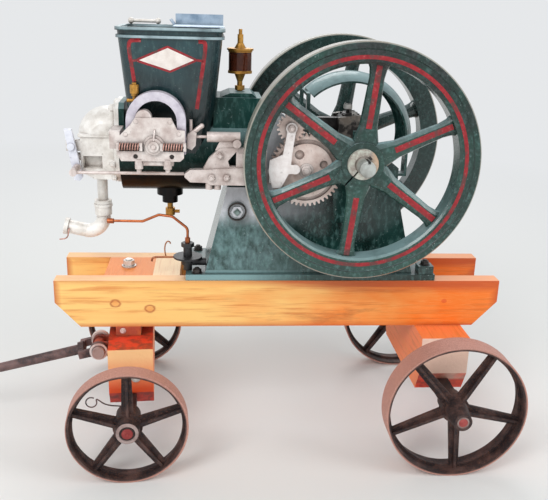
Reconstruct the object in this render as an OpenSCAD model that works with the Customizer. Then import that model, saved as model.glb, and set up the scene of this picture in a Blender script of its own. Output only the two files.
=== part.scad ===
// Hopper-cooled stationary petrol engine on a four-wheeled hand truck.
// +X runs from the drawbar to the flywheels, -Y is the magneto side, +Z is up.
// Ground level is Z = 0. The origin is under the middle of the whole machine.

/* [Truck timbers] */
// Length of each sill
sill_len = 1037; // [960:1:1100]
// Height of each sill
sill_h = 113; // [90:1:130]
// Thickness of each sill
sill_t = 38; // [25:1:45]
// Width over both sills
sill_width = 206; // [196:1:220]
// Underside of the sills above the ground
sill_bottom = 281; // [275:1:300]
// Bevel under each end of a sill, along its length
sill_bevel_x = 56; // [20:1:90]
// Bevel under each end of a sill, along its height
sill_bevel_z = 60; // [20:1:75]
// Sill end ahead of the king bolt
sill_front = 159; // [140:1:190]
// Width of the front cross member along the sills
cross_w = 112; // [90:1:120]
// Width of the spacer block behind the cross member
spacer_w = 62; // [40:1:80]
// Width of the small bolster on the front axletree
bolster_w = 57; // [40:1:80]
// Width of the front axletree
front_tree_w = 100; // [80:1:110]
// Width of the rear axletree
rear_tree_w = 113; // [90:1:130]
// Length of both axletrees
tree_len = 360; // [330:1:380]

/* [Running gear] */
// Distance from the king bolt to the rear axle
wheelbase = 738; // [700:1:780]
// Angle that the front axle stands at, seen from above
steer_angle = 3.6; // [0:0.1:8]
// Radius of a front wheel
front_wheel_r = 130; // [120:1:134]
// Radius of a rear wheel
rear_wheel_r = 158; // [145:1:170]
// Tread width of a front wheel
front_tread = 41; // [30:1:55]
// Tread width of a rear wheel
rear_tread = 57; // [40:1:66]
// Half width over the wheels' outer faces
wheel_face = 307; // [295:1:330]
// Side of the square iron axles
axle_side = 32; // [28:1:38]
// Radius of the axle spindles
spindle_r = 13.5; // [10:0.5:14]
// Length of the drawbar from its pin to the far side of the handle
drawbar_len = 860; // [780:1:940]
// Diameter of the drawbar's iron at the yoke
bar_d = 25; // [20:1:30]
// Height of the drawbar's pin above the ground
pin_h = 190; // [180:1:200]

/* [Engine] */
// Distance from the king bolt to the crankshaft
crank_from_king = 516; // [500:1:540]
// Crankshaft above the sills
crank_h = 291.5; // [285:0.5:310]
// Radius of a flywheel
flywheel_r = 254; // [240:1:262]
// Width of a flywheel's rim
flywheel_w = 51; // [40:1:56]
// Radial depth of a flywheel's rim
rim_depth = 46; // [36:1:46]
// Width over both flywheels' rims
flywheel_span = 379; // [379:1:420]
// Spokes in a flywheel
flywheel_spokes = 6; // [5:1:6]
// Radius of the crankshaft
shaft_r = 19; // [16:0.5:21]
// Throw of the crank
crank_throw = 60; // [55:1:62]
// Module of the timing gears
gear_module = 3.25; // [3:0.05:3.25]
// Outer radius of the cylinder's water jacket
jacket_r = 82; // [78:1:86]
// Radius of the cylinder bore
bore_r = 46; // [40:1:48]
// Length of the hopper's rim along the cylinder
hopper_len = 223; // [215:1:230]
// Width of the hopper's rim across the engine
hopper_wid = 221; // [205:1:230]
// Hopper rim above the crankshaft
hopper_top = 265; // [240:1:280]
// Wall of the hopper
hopper_wall = 8; // [6:0.5:10]

/* [Fits] */
// Gap all round a turning shaft in its bore
run_fit = 0.08; // [0.02:0.01:0.1]
// Side gap between a turning part and its neighbour
side_gap = 5; // [3:0.5:6]

/* [Hidden] */
$fn = 48;
eps = 0.5;

// Truck levels and places
sill_top = sill_bottom + sill_h;
sill_out = sill_width / 2;
sill_in = sill_out - sill_t;
wood_back = 5;
turn_gap = 0.5;
tree_half = tree_len / 2;
tree_chamfer = 25;
front_tree_bottom = front_wheel_r - axle_side / 2;
front_tree_h = 144;
front_tree_top = front_tree_bottom + front_tree_h;
rear_tree_bottom = rear_wheel_r - axle_side / 2;
axle_end = 235;
hub_in = axle_end + side_gap;
front_hub_out = 320;
rear_hub_out = 345;
hub_r = 27;
wheel_rim = 7;
king_r = 8;

// Drawbar
pin_x = 77;
pin_r = 9;
yoke_in = 28;
yoke_out = 40;
yoke_eye_r = 22;
yoke_len = 37;
bar_tip_d = 15;
ring_r = 28;
ring_iron = 8;
bar_slope = asin((pin_h - ring_iron) / (drawbar_len - ring_iron));
front_reach = pin_x + drawbar_len * cos(bar_slope);
rear_reach = wheelbase + rear_wheel_r;
king_x = (front_reach * cos(steer_angle) - rear_reach) / 2;
rear_x = king_x + wheelbase;

// Crankshaft, flywheels and gears, seen from the shaft's axis
crank_x = king_x + crank_from_king;
crank_z = sill_top + crank_h;
wheel_out = flywheel_span / 2;
wheel_in = wheel_out - flywheel_w;
hub_barrel_r = 46;
hub_disc_r = 32.5;
hub_disc_y = wheel_out - 4.5;
hub_barrel_y = wheel_out - 11.5;
hub_inner_y = wheel_in + 1.5;
shaft_end = hub_disc_y + 14;
end_r = shaft_r - 2;
spoke_y = wheel_out - 25.5;
spoke_t = 20;
bearing_out = 105;
case_y = 72;
case_wall = 18;
web_in = 30;
web_out = 46;
crank_pin_r = 15;
big_end_r = 26;
pit_rear = crank_throw + big_end_r + side_gap + 1;
pin_rest = 97;
crank_teeth = 24;
cam_teeth = 48;
governor_teeth = 14;
gear_y = bearing_out + side_gap;
gear_w = 18;
cam_angle = 192.5;
governor_angle = 111.5;
governor_phase = governor_angle + 180 + 180 / governor_teeth
    - (cam_angle + 180 + 180 / cam_teeth - governor_angle) * cam_teeth / governor_teeth;
cam_stud_r = 11;
governor_stud_r = 6;
cam_dist = gear_module * (crank_teeth + cam_teeth) / 2;
governor_dist = gear_module * (governor_teeth + cam_teeth) / 2;
cam_x = cam_dist * cos(cam_angle);
cam_z = cam_dist * sin(cam_angle);
governor_x = cam_x + governor_dist * cos(governor_angle);
governor_z = cam_z + governor_dist * sin(governor_angle);
governor_y = gear_y + gear_w + side_gap;
governor_w = 6;
arm_y = governor_y + governor_w + side_gap;
arm_t = 4;

// Cylinder and hopper, seen from the crankshaft's axis
jacket_front = -522;
jacket_back = -210;
barrel_r = bore_r + 10;
jacket_wall = 8;
block_front = -316;
block_top = 120;
block_y = 62;
hopper_mid = -407;
hopper_round = 32;
hopper_waist = 116;
foot_h = 14;
foot_y = 100;
foot_front = -378;
foot_rear = 205;
case_top = -78;

// Shared shapes

// Puts its children in the frame of the crankshaft, whose axis is along Y
module at_crank() {
    translate([crank_x, 0, crank_z]) children();
}

// Puts its children in the frame of the front truck, turned as the axle stands
module at_king() {
    translate([king_x, 0, 0]) rotate([0, 0, steer_angle]) children();
}

// Block between two ends on each axis
module slab(x, y, z) {
    translate([x[0], y[0], z[0]]) cube([x[1] - x[0], y[1] - y[0], z[1] - z[0]]);
}

// Round bar along X, Y or Z between two ends
module bar_x(r, a, b) {
    translate([a, 0, 0]) rotate([0, 90, 0]) cylinder(r = r, h = b - a);
}
module bar_y(r, a, b) {
    translate([0, a, 0]) rotate([-90, 0, 0]) cylinder(r = r, h = b - a);
}
module bar_z(r, a, b) {
    translate([0, 0, a]) cylinder(r = r, h = b - a);
}

// Outline in X and Z carried from one Y to another
module side_plate(y0, y1) {
    translate([0, y1, 0]) rotate([90, 0, 0]) linear_extrude(y1 - y0) children();
}

// Outline in Y and Z carried from one X to another
module end_plate(x0, x1) {
    translate([x0, 0, 0]) rotate([90, 0, 90]) linear_extrude(x1 - x0) children();
}

// Bent round tube along points in X and Z, with every corner rounded to bend_r
module bent_tube(path, r, bend_r) {
    last = len(path) - 1;
    heading = [for (i = [0 : last - 1])
        atan2(path[i + 1][1] - path[i][1], path[i + 1][0] - path[i][0])];
    turn = [for (i = [0 : last])
        i == 0 || i == last ? 0 : (heading[i] - heading[i - 1] + 540) % 360 - 180];
    cut = [for (i = [0 : last]) bend_r * tan(abs(turn[i]) / 2)];
    lap = 0.5;
    rotate([90, 0, 0]) {
        for (i = [0 : last - 1])
            translate([path[i][0], path[i][1], 0]) rotate([0, 90, heading[i]])
                translate([0, 0, cut[i] - (i > 0 ? lap : 0)])
                    cylinder(r = 0.96 * r, h = norm(path[i + 1] - path[i]) - cut[i] - cut[i + 1]
                             + (i > 0 ? lap : 0) + (i < last - 1 ? lap : 0));
        for (i = [1 : last - 1]) {
            side = turn[i] > 0 ? 1 : -1;
            start = side > 0 ? heading[i - 1] - 90 : heading[i] + 90;
            translate([path[i][0] - cut[i] * cos(heading[i - 1]) - side * bend_r * sin(heading[i - 1]),
                       path[i][1] - cut[i] * sin(heading[i - 1]) + side * bend_r * cos(heading[i - 1]), 0])
                rotate([0, 0, start]) rotate_extrude(angle = abs(turn[i]))
                    translate([bend_r, 0]) circle(r = r);
        }
    }
}

// Straight round bar from one point to another, with a ball at its far end
module link(a, b, r) {
    d = b - a;
    len_ab = norm(d);
    tilt = acos(d[2] / len_ab);
    turn = atan2(d[1], d[0]);
    translate(a) rotate([0, tilt, turn]) cylinder(r = r, h = len_ab);
    translate(b) sphere(r = 1.08 * r);
}

// Spur gear outline with straight-sided teeth of the given module
module gear_outline(teeth, m, phase) {
    pitch_r = m * teeth / 2;
    root = pitch_r - 1.2 * m;
    tip = pitch_r + 0.9 * m;
    step = 360 / teeth;
    at_root = 0.33 * step;
    at_pitch = 0.235 * step;
    at_tip = 0.12 * step;
    polygon([
        for (i = [0 : teeth - 1])
            for (p = [[-at_root, root], [-at_pitch, pitch_r], [-at_tip, tip],
                      [at_tip, tip], [at_pitch, pitch_r], [at_root, root]])
                let (a = i * step + phase + p[0])
                    [p[1] * cos(a), p[1] * sin(a)]
    ]);
}

// Truck timbers

module sill(side) {
    front = king_x - sill_front;
    rear = front + sill_len;
    y0 = side > 0 ? sill_in : -sill_out;
    knee = sill_top - sill_h + sill_bevel_z;
    color("SandyBrown")
    side_plate(y0, y0 + sill_t)
        polygon([[front, sill_top], [front, knee], [front + sill_bevel_x, sill_bottom],
                 [rear - sill_bevel_x, sill_bottom], [rear, knee], [rear, sill_top]]);
}

module near_sill() { sill(-1); }

module far_sill() { sill(1); }

module front_cross_member() {
    mid = king_x + wood_back;
    color("Peru")
    difference() {
        slab([mid - cross_w / 2, mid + cross_w / 2], [-sill_in, sill_in], [sill_bottom, sill_top]);
        translate([king_x, 0, 0]) bar_z(king_r, sill_bottom - 1, sill_top + 1);
    }
}

module spacer_block() {
    front = king_x + wood_back + cross_w / 2;
    color("BurlyWood")
    slab([front, front + spacer_w], [-sill_in, sill_in], [sill_bottom, sill_top]);
}

module front_bolster() {
    mid = king_x + wood_back;
    color("Chocolate")
    difference() {
        slab([mid - bolster_w / 2, mid + bolster_w / 2], [-sill_out, sill_out],
             [front_tree_top + turn_gap, sill_bottom]);
        translate([king_x, 0, 0]) bar_z(king_r, front_tree_top, sill_bottom + 1);
    }
}

// End view of an axletree, its lower corners cut back
module tree_outline(top, bottom, knee) {
    polygon([[-tree_half, top], [tree_half, top], [tree_half, knee],
             [tree_half - tree_chamfer, bottom], [-tree_half + tree_chamfer, bottom],
             [-tree_half, knee]]);
}

module rear_axletree() {
    color("Peru")
    difference() {
        translate([rear_x, 0, 0]) end_plate(-rear_tree_w / 2, rear_tree_w / 2)
            tree_outline(sill_bottom, rear_tree_bottom, rear_tree_bottom + 50);
        translate([rear_x, 0, 0])
            slab([-axle_side / 2, axle_side / 2], [-tree_len, tree_len],
                 [rear_tree_bottom - 1, rear_tree_bottom + axle_side]);
    }
}

module axle(wheel_r, hub_out) {
    half = axle_side / 2;
    slab([-half, half], [-axle_end, axle_end], [wheel_r - half, wheel_r + half]);
    translate([0, 0, wheel_r]) bar_y(spindle_r, -hub_out, hub_out);
}

module rear_axle() {
    color("DarkSlateGray") translate([rear_x, 0, 0]) axle(rear_wheel_r, rear_hub_out);
}

module king_bolt() {
    nut_h = 13;
    nut_r = 13.5;
    head_h = 10;
    washer_r = 17;
    bottom = front_tree_bottom - turn_gap;
    color("DimGray")
    translate([king_x, 0, 0]) {
        bar_z(king_r, bottom - head_h, sill_top + nut_h + 6);
        bar_z(washer_r, sill_top, sill_top + 3);
        translate([0, 0, sill_top + 3]) cylinder(r = nut_r, h = nut_h, $fn = 6);
        translate([0, 0, bottom - head_h]) cylinder(r = nut_r, h = head_h, $fn = 6);
    }
}

// Front truck

module front_axletree() {
    color("Peru")
    at_king() difference() {
        translate([wood_back, 0, 0]) end_plate(-front_tree_w / 2, front_tree_w / 2)
            tree_outline(front_tree_top, front_tree_bottom, front_tree_bottom + 37);
        slab([-axle_side / 2, axle_side / 2], [-tree_len, tree_len],
             [front_tree_bottom - 1, front_tree_bottom + axle_side]);
        bar_z(king_r + run_fit, front_tree_bottom, front_tree_top + 1);
    }
}

module front_axle() {
    color("DarkSlateGray")
    at_king() difference() {
        axle(front_wheel_r, front_hub_out);
        bar_z(king_r + run_fit, front_tree_bottom - 1, front_tree_bottom + axle_side + 1);
    }
}

module drawbar_bracket() {
    face = wood_back - front_tree_w / 2;
    lug_in = 14;
    lug_out = yoke_in - 2;
    color("DimGray")
    at_king() {
        slab([face - 8, face], [-38, 38], [pin_h - 30, pin_h + 30]);
        for (s = [-1, 1]) {
            y0 = s > 0 ? lug_in : -lug_out;
            slab([-pin_x, face - 4], [y0, y0 + lug_out - lug_in], [pin_h - 15, pin_h + 15]);
            translate([-pin_x, 0, pin_h]) bar_y(18, y0, y0 + lug_out - lug_in);
        }
        translate([-pin_x, 0, pin_h]) {
            bar_y(pin_r, -yoke_out - 8, yoke_out + 8);
            bar_y(15, -yoke_out - 10, -yoke_out - 2);
            bar_y(15, yoke_out + 2, yoke_out + 10);
        }
    }
}

module drawbar() {
    shaft_len = drawbar_len - 2 * ring_r - 2 * ring_iron;
    color("DarkGray")
    at_king() translate([-pin_x, 0, pin_h]) rotate([0, -bar_slope, 0])
    difference() {
        union() {
            for (s = [-1, 1]) {
                y0 = s > 0 ? yoke_in : -yoke_out;
                bar_y_at = yoke_out - yoke_in;
                bar_y(yoke_eye_r, y0, y0 + bar_y_at);
                slab([-yoke_len - 12, 0], [y0, y0 + bar_y_at], [-9, 9]);
            }
            slab([-yoke_len - 12, -yoke_len], [-yoke_out, yoke_out], [-9, 9]);
            translate([-yoke_len - 10, 0, 0]) rotate([0, -90, 0])
                cylinder(r1 = bar_d / 2, r2 = bar_tip_d / 2, h = shaft_len - yoke_len);
            translate([-yoke_len, 0, 0]) rotate([0, -90, 0]) cylinder(r = 18, h = 14);
            translate([-drawbar_len + ring_r + ring_iron, 0, 0])
                rotate_extrude() translate([ring_r, 0]) circle(r = ring_iron);
        }
        bar_y(pin_r + run_fit, -yoke_out - 1, yoke_out + 1);
    }
}

// Wheels

module truck_wheel(r, tread, hub_out, hub_end_r, phase) {
    inner = wheel_face - tread;
    mid = wheel_face - tread / 2;
    rim_in = r - wheel_rim;
    spoke_half = 3.5;
    web = 3;
    color("SaddleBrown")
    difference() {
        union() {
            difference() {
                bar_y(r, inner, wheel_face);
                bar_y(rim_in, inner - 1, wheel_face + 1);
            }
            difference() {
                bar_y(rim_in + 1, mid - 4, mid + 4);
                bar_y(rim_in - 6, mid - 5, mid + 5);
            }
            bar_y(hub_r, hub_in, mid + 12);
            bar_y(hub_r + 5, mid - 9, mid + 9);
            translate([0, mid + 11, 0]) rotate([-90, 0, 0])
                cylinder(r1 = hub_r, r2 = hub_end_r, h = hub_out - mid - 11);
            for (i = [0 : 4])
                rotate([0, phase + i * 72, 0]) {
                    side_plate(mid - spoke_half, mid + spoke_half)
                        polygon([[0, -14], [rim_in + 3, -10], [rim_in + 3, 10], [0, 14]]);
                    translate([0, 0, -web]) linear_extrude(2 * web)
                        polygon([[0, mid - 17], [rim_in + 3, mid - 12], [rim_in + 3, mid + 12],
                                 [0, mid + 17]]);
                }
        }
        bar_y(spindle_r + run_fit, hub_in - 1, hub_out + 1);
    }
}

module front_near_wheel() {
    at_king() translate([0, 0, front_wheel_r]) mirror([0, 1, 0])
        truck_wheel(front_wheel_r, front_tread, front_hub_out, 25, -18);
}

module front_far_wheel() {
    at_king() translate([0, 0, front_wheel_r])
        truck_wheel(front_wheel_r, front_tread, front_hub_out, 25, -30);
}

module rear_near_wheel() {
    translate([rear_x, 0, rear_wheel_r]) mirror([0, 1, 0])
        truck_wheel(rear_wheel_r, rear_tread, rear_hub_out, 20, -59);
}

module rear_far_wheel() {
    translate([rear_x, 0, rear_wheel_r])
        truck_wheel(rear_wheel_r, rear_tread, rear_hub_out, 20, -20);
}

// Engine castings

module engine_base() {
    floor_z = -crank_h;
    body_z = floor_z + foot_h;
    pit_y = case_y - case_wall;
    pad_h = 34;
    stud_back = -case_y + 1;
    plug = [-262, -130];
    color("DarkGreen")
    at_crank() difference() {
        union() {
            slab([foot_front, foot_rear], [-foot_y, foot_y], [floor_z, body_z]);
            for (s = [-1, 1])
                slab([foot_rear - 40, foot_rear - 4], [s * 83 - 15, s * 83 + 15],
                     [floor_z, floor_z + pad_h]);
            intersection() {
                side_plate(-foot_y, foot_y)
                    polygon([[-334, body_z - 1], [152, body_z - 1], [105, case_top], [-284, case_top]]);
                end_plate(foot_front, foot_rear)
                    polygon([[-88, body_z - 1], [88, body_z - 1], [case_y, case_top], [-case_y, case_top]]);
            }
            side_plate(-case_y, case_y)
                polygon([[jacket_back, case_top - 1], [jacket_back, 95], [-196, 95], [-100, 40],
                         [-66, 0], [66, 0], [105, -30], [105, case_top - 1]]);
            side_plate(-bearing_out, bearing_out)
                polygon([[-64, 0], [64, 0], [52, -46], [42, -150], [-42, -150], [-52, -46]]);
            translate([cam_x, 0, cam_z]) {
                bar_y(20, -gear_y + side_gap, stud_back);
                bar_y(cam_stud_r, -gear_y - gear_w - 4, stud_back);
            }
            translate([governor_x, 0, governor_z]) {
                bar_y(13, -gear_y + side_gap, stud_back);
                bar_y(governor_stud_r, -arm_y - arm_t, stud_back);
            }
            translate([plug[0], 0, plug[1]]) {
                bar_y(20, -89, -60);
                translate([0, -94, 0]) rotate([-90, 0, 0]) cylinder(r = 14, h = 10, $fn = 6);
            }
        }
        slab([jacket_back + case_wall, pit_rear], [-pit_y, pit_y], [-108, 200]);
        bar_y(shaft_r + run_fit, -bearing_out - 1, bearing_out + 1);
        bar_x(jacket_r, jacket_front, jacket_back);
        bar_x(bore_r, jacket_back - 1, jacket_back + case_wall + 1);
    }
}

module bearing_cap(side) {
    cap_w = bearing_out - case_y;
    y0 = side > 0 ? case_y : -bearing_out;
    cap_r = shaft_r + 17;
    color("ForestGreen")
    at_crank() difference() {
        union() {
            intersection() {
                bar_y(cap_r, y0, y0 + cap_w);
                slab([-cap_r - 1, cap_r + 1], [y0, y0 + cap_w], [0, cap_r + 1]);
            }
            slab([-62, 62], [y0, y0 + cap_w], [0, 16]);
            for (s = [-1, 1])
                translate([s * 50, y0 + cap_w / 2, 15]) {
                    cylinder(r = 11, h = 10, $fn = 6);
                    cylinder(r = 6, h = 16);
                }
            translate([0, y0 + cap_w / 2, cap_r - 2]) cylinder(r = 9, h = 22);
        }
        bar_y(shaft_r + run_fit, y0 - 1, y0 + cap_w + 1);
    }
}

module near_bearing_cap() { bearing_cap(-1); }

module far_bearing_cap() { bearing_cap(1); }

module water_jacket() {
    end_wall = 12;
    cavity_front = jacket_front + end_wall;
    cavity_back = jacket_back - end_wall - 2;
    drain_x = -416;
    belly_r = jacket_r - 10;
    belly_back = -302;
    color("DarkGreen")
    at_crank() difference() {
        union() {
            bar_x(jacket_r, jacket_front, jacket_back);
            translate([0, 0, -26]) bar_x(belly_r, jacket_front + 1, belly_back);
            head_flange(jacket_front, jacket_front + end_wall);
            slab([block_front, jacket_back], [-block_y, block_y], [20, block_top]);
            side_plate(-block_y + 8, block_y - 8)
                polygon([[block_front + 12, block_top - 1], [jacket_back - 10, block_top - 1],
                         [-232, block_top + 9], [-280, block_top + 9]]);
            translate([drain_x, 0, 0]) bar_z(30, -111, -84);
            translate([drain_x, 0, 0]) bar_z(18, -130, -110);
        }
        difference() {
            bar_x(jacket_r - jacket_wall, cavity_front, cavity_back);
            bar_x(barrel_r, cavity_front - 1, cavity_back + 1);
        }
        difference() {
            slab([hopper_mid - 85, hopper_mid + 80], [-44, 44], [0, jacket_r]);
            bar_x(barrel_r, jacket_front, jacket_back);
        }
        bar_x(bore_r, jacket_front - 1, jacket_back + 1);
    }
}

// Outline that the cylinder's front flange and the head's flange share
module head_flange(x0, x1) {
    end_plate(x0, x1) {
        circle(r = jacket_r);
        polygon([[-66, 40], [66, 40], [66, 92], [54, 104], [-54, 104], [-66, 92]]);
    }
}

// Rounded level outline of the hopper, drawn in by t, between two heights
module hopper_ring(x, y, t, z0, z1) {
    round_r = hopper_round - t;
    for (sx = [0, 1])
        for (sy = [-1, 1])
            translate([x[sx] - (2 * sx - 1) * hopper_round, sy * (y - hopper_round), z0])
                cylinder(r = round_r, h = z1 - z0, $fn = 32);
}

// The hopper's body drawn in by t: it narrows slowly, then quickly to the jacket
module hopper_shell(t) {
    half = hopper_len / 2;
    wide = hopper_wid / 2;
    hull() {
        hopper_ring([-half, half], wide, t, hopper_top - 1, hopper_top + (t > 0 ? 1 : 0));
        hopper_ring([-half + 14, half - 15], wide - 14.5, t, hopper_waist, hopper_waist + 1);
    }
    hull() {
        hopper_ring([-half + 14, half - 15], wide - 14.5, t, hopper_waist, hopper_waist + 1);
        hopper_ring([-half + 24, half - 27], jacket_r, t, 38, 39);
    }
}

module hopper() {
    bead = 4;
    low_bead = 2.5;
    low_z = hopper_top - 22;
    half = hopper_len / 2;
    wide = hopper_wid / 2;
    color("Green")
    at_crank() difference() {
        union() {
            translate([hopper_mid, 0, 0]) {
                hopper_shell(0);
                hull() hopper_ring([-half + 24, half - 27], jacket_r, 0, 0, 38.5);
                hull() hopper_ring([-half - bead, half + bead], wide + bead, 0, hopper_top - 7, hopper_top);
                hull() hopper_ring([-half - low_bead, half + low_bead], wide + low_bead, 0, low_z, low_z + 6);
            }
        }
        translate([hopper_mid, 0, 0]) hopper_shell(hopper_wall);
        translate([hopper_mid, 0, 0]) slab([-60, 60], [-60, 60], [0, 60]);
        bar_x(jacket_r, jacket_front - 1, jacket_back + 1);
        slab([block_front, jacket_back], [-block_y, block_y], [0, block_top]);
        slab([block_front, jacket_back], [-block_y, block_y], [block_top - 1, block_top + 10]);
    }
}

module hopper_bar() {
    y = (hopper_wid - hopper_wall) / 2;
    half = 31;
    knob = 7;
    color("Silver")
    at_crank() translate([hopper_mid - 68, y, hopper_top + knob]) {
        bar_x(4, -half, half);
        translate([-half, 0, 0]) sphere(r = knob);
        translate([half, 0, 0]) sphere(r = knob);
    }
}

module splash_sheet() {
    sheet_t = 1.6;
    lip = 25;
    front = hopper_mid + 3;
    rear = hopper_mid + hopper_len / 2 + 2;
    far = hopper_wid / 2 + 2;
    color("LightGrey")
    at_crank() {
        slab([front, rear], [-48, far], [hopper_top, hopper_top + sheet_t]);
        slab([front, rear], [far - sheet_t, far], [hopper_top, hopper_top + lip]);
        translate([front, 0, hopper_top]) rotate([0, -35, 0]) slab([0, sheet_t], [10, far], [0, 16]);
    }
}

module cylinder_head() {
    flange_t = 10;
    face = jacket_front - flange_t;
    dome_r = 65;
    dome_x = face - 22;
    dome_z = 25;
    chest_front = -609;
    chest_y = 52;
    color("DarkGreen")
    at_crank() difference() {
        union() {
            head_flange(face, jacket_front);
            intersection() {
                translate([dome_x, 0, dome_z]) sphere(r = dome_r, $fn = 64);
                slab([dome_x - dome_r - 1, face + 1], [-chest_y - 4, chest_y + 4], [33, 120]);
            }
            side_plate(-chest_y, chest_y)
                polygon([[face + 1, -68], [face + 1, 33], [chest_front, 33], [chest_front, -52],
                         [chest_front + 30, -68]]);
            slab([chest_front - 4, face + 1], [-chest_y - 3, chest_y + 3], [27, 34]);
            slab([-640, chest_front + 1], [-chest_y, -chest_y + 12], [-4, 20]);
            translate([0, -chest_y + 10, -18]) bar_x(9, chest_front - 14, chest_front + 1);
            translate([-572, 0, 0]) bar_z(15, -76, -60);
        }
        slab([-604, -562], [-chest_y - 1, -chest_y + 26], [-43, -15]);
    }
}

module rocker_arm() {
    arm = [-68, -56];
    color("Silver")
    at_crank() {
        side_plate(arm[0], arm[1])
            polygon([[-640, 46], [-624, 46], [-604, -60], [-610, -68], [-622, -66]]);
        translate([-627, 0, 8]) bar_y(8, arm[0] - 4, -52.2);
    }
}

module pushrod() {
    rod_y = -120;
    rod_z = -37.5;
    eye_x = -615;
    color("Gray")
    at_crank() {
        translate([0, rod_y, rod_z]) bar_x(3.5, eye_x, -379);
        translate([eye_x, 0, rod_z]) bar_y(8, rod_y - 6, -68);
    }
}

module latch_bracket() {
    rod_y = -120;
    rod_z = -37.5;
    near = -131;
    far = -111;
    barrel_z = 43.5;
    color("DimGray")
    at_crank() difference() {
        union() {
            side_plate(near, far)
                polygon([[-378, -43], [-366, -54], [-330, -55], [-322, -60], [-201, -60],
                         [-201, -22], [-262, -22], [-330, -26], [-366, -27], [-378, -36]]);
            side_plate(near + 5, far)
                polygon([[-339, -27], [-326, -2], [-302, 20], [-262, 21], [-201, 21], [-201, -27]]);
            translate([0, rod_y, barrel_z]) bar_x(11, -330, -259);
            side_plate(rod_y - 4, rod_y + 4)
                polygon([[-312, 15], [-268, 15], [-268, 40], [-300, 40]]);
            for (x = [-325, -307])
                translate([x, rod_y, 0]) bar_z(8, -71, -56);
            translate([-266, 0, 31]) bar_y(9, near - 4, far);
            slab([-300, -240], [far - 1, -60], [-58, -26]);
        }
        side_plate(near - 1, -100)
            polygon([[-285, -8], [-267, 13], [-267, -20], [-281, -20]]);
        bar_x(jacket_r, jacket_front, jacket_back);
        slab([block_front, jacket_back], [-block_y, block_y], [0, block_top]);
        translate([0, rod_y, rod_z]) bar_x(3.5, -379.5, -340);
    }
}

module intake_elbow() {
    pipe_x = -571;
    nut_r = 19.5;
    tube_r = 16.5;
    bore = 13;
    corner = -210;
    mouth = [-662, -190.7];
    mouth_angle = 168;
    color("Silver")
    at_crank() difference() {
        union() {
            translate([pipe_x, 0, 0]) {
                bar_z(12, -128, -76);
                bar_z(nut_r, -162, -127);
                bar_z(nut_r + 2, -142, -136);
            }
            bent_tube([[pipe_x, -161], [pipe_x, corner], mouth], tube_r, 34);
            rotate([90, 0, 0]) translate([mouth[0], mouth[1], 0]) rotate([0, 90, mouth_angle])
                translate([0, 0, -9]) cylinder(r = tube_r + 3, h = 9);
        }
        rotate([90, 0, 0]) translate([mouth[0], mouth[1], 0]) rotate([0, 90, mouth_angle])
            translate([0, 0, -40]) cylinder(r = bore, h = 41);
    }
}

module fuel_valve() {
    valve = [-374, -62];
    floor_z = -crank_h + foot_h;
    disc_z = -246;
    color("DimGray")
    at_crank() translate([valve[0], valve[1], 0]) {
        bar_z(10, floor_z, -212);
        bar_z(33, disc_z - 2, disc_z + 2);
        bar_z(14, disc_z - 18, disc_z - 6);
        translate([0, 0, -222]) cylinder(r = 15, h = 10, $fn = 6);
        translate([0, 0, disc_z - 12]) bar_x(9, 0, 43);
    }
}

module fuel_line() {
    line_r = 3.2;
    start = [-571, -20];
    end = [-374, -62];
    run = norm(end - start);
    color("Peru")
    at_crank() translate([start[0], start[1], 0]) rotate([0, 0, atan2(end[1] - start[1], end[0] - start[0])]) {
        bent_tube([[14, -172], [96, -168], [134, -150], [166, -152], [run, -178], [run, -206]], line_r, 14);
        translate([run, 0, 0]) bar_z(6, -211.7, -200);
        translate([0, 0, -172]) bar_x(6, 12, 26);
    }
}

module drain_cock() {
    color("Gold")
    at_crank() translate([-416, 0, 0]) {
        bar_z(6.5, -146, -130);
        bar_z(11, -162, -145);
        translate([0, 0, -154]) bar_x(4, 0, 22);
    }
}

module priming_cup() {
    cup = [-482, -110];
    color("Gold")
    at_crank() translate([cup[0], 0, 0]) {
        translate([0, 0, 108]) bar_y(4.5, cup[1], -94.3);
        translate([0, cup[1], 0]) {
            translate([0, 0, 108]) sphere(r = 6);
            bar_z(4.5, 108, 132);
            bar_z(7, 126, 132);
            bar_z(9.3, 131, 149);
            bar_z(5, 148, 153);
            translate([0, 0, 116]) bar_x(4, -16, 0);
        }
    }
}

module drip_oiler() {
    seat = block_top + 9;
    glass_low = 174;
    glass_high = 214;
    color("Gold")
    at_crank() translate([-257, 0, 0]) {
        bar_z(6, seat, 150);
        translate([0, 0, seat + 2]) cylinder(r = 11, h = 10, $fn = 6);
        translate([0, 0, 150]) cylinder(r1 = 6, r2 = 13, h = 18);
        bar_z(27, glass_low - 6, glass_low);
        bar_z(3, glass_low - 1, 240);
        bar_z(27, glass_high, glass_high + 5);
        bar_z(29.5, glass_high + 4, glass_high + 8);
        translate([0, 0, glass_high + 7]) cylinder(r1 = 14, r2 = 7, h = 12);
        bar_z(6.5, glass_high + 12, 252);
        bar_z(4, 251, 263);
    }
}

module oiler_glass() {
    color("White")
    at_crank() translate([-257, 0, 0]) difference() {
        bar_z(25.5, 174, 214);
        bar_z(22.5, 173, 215);
    }
}

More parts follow.
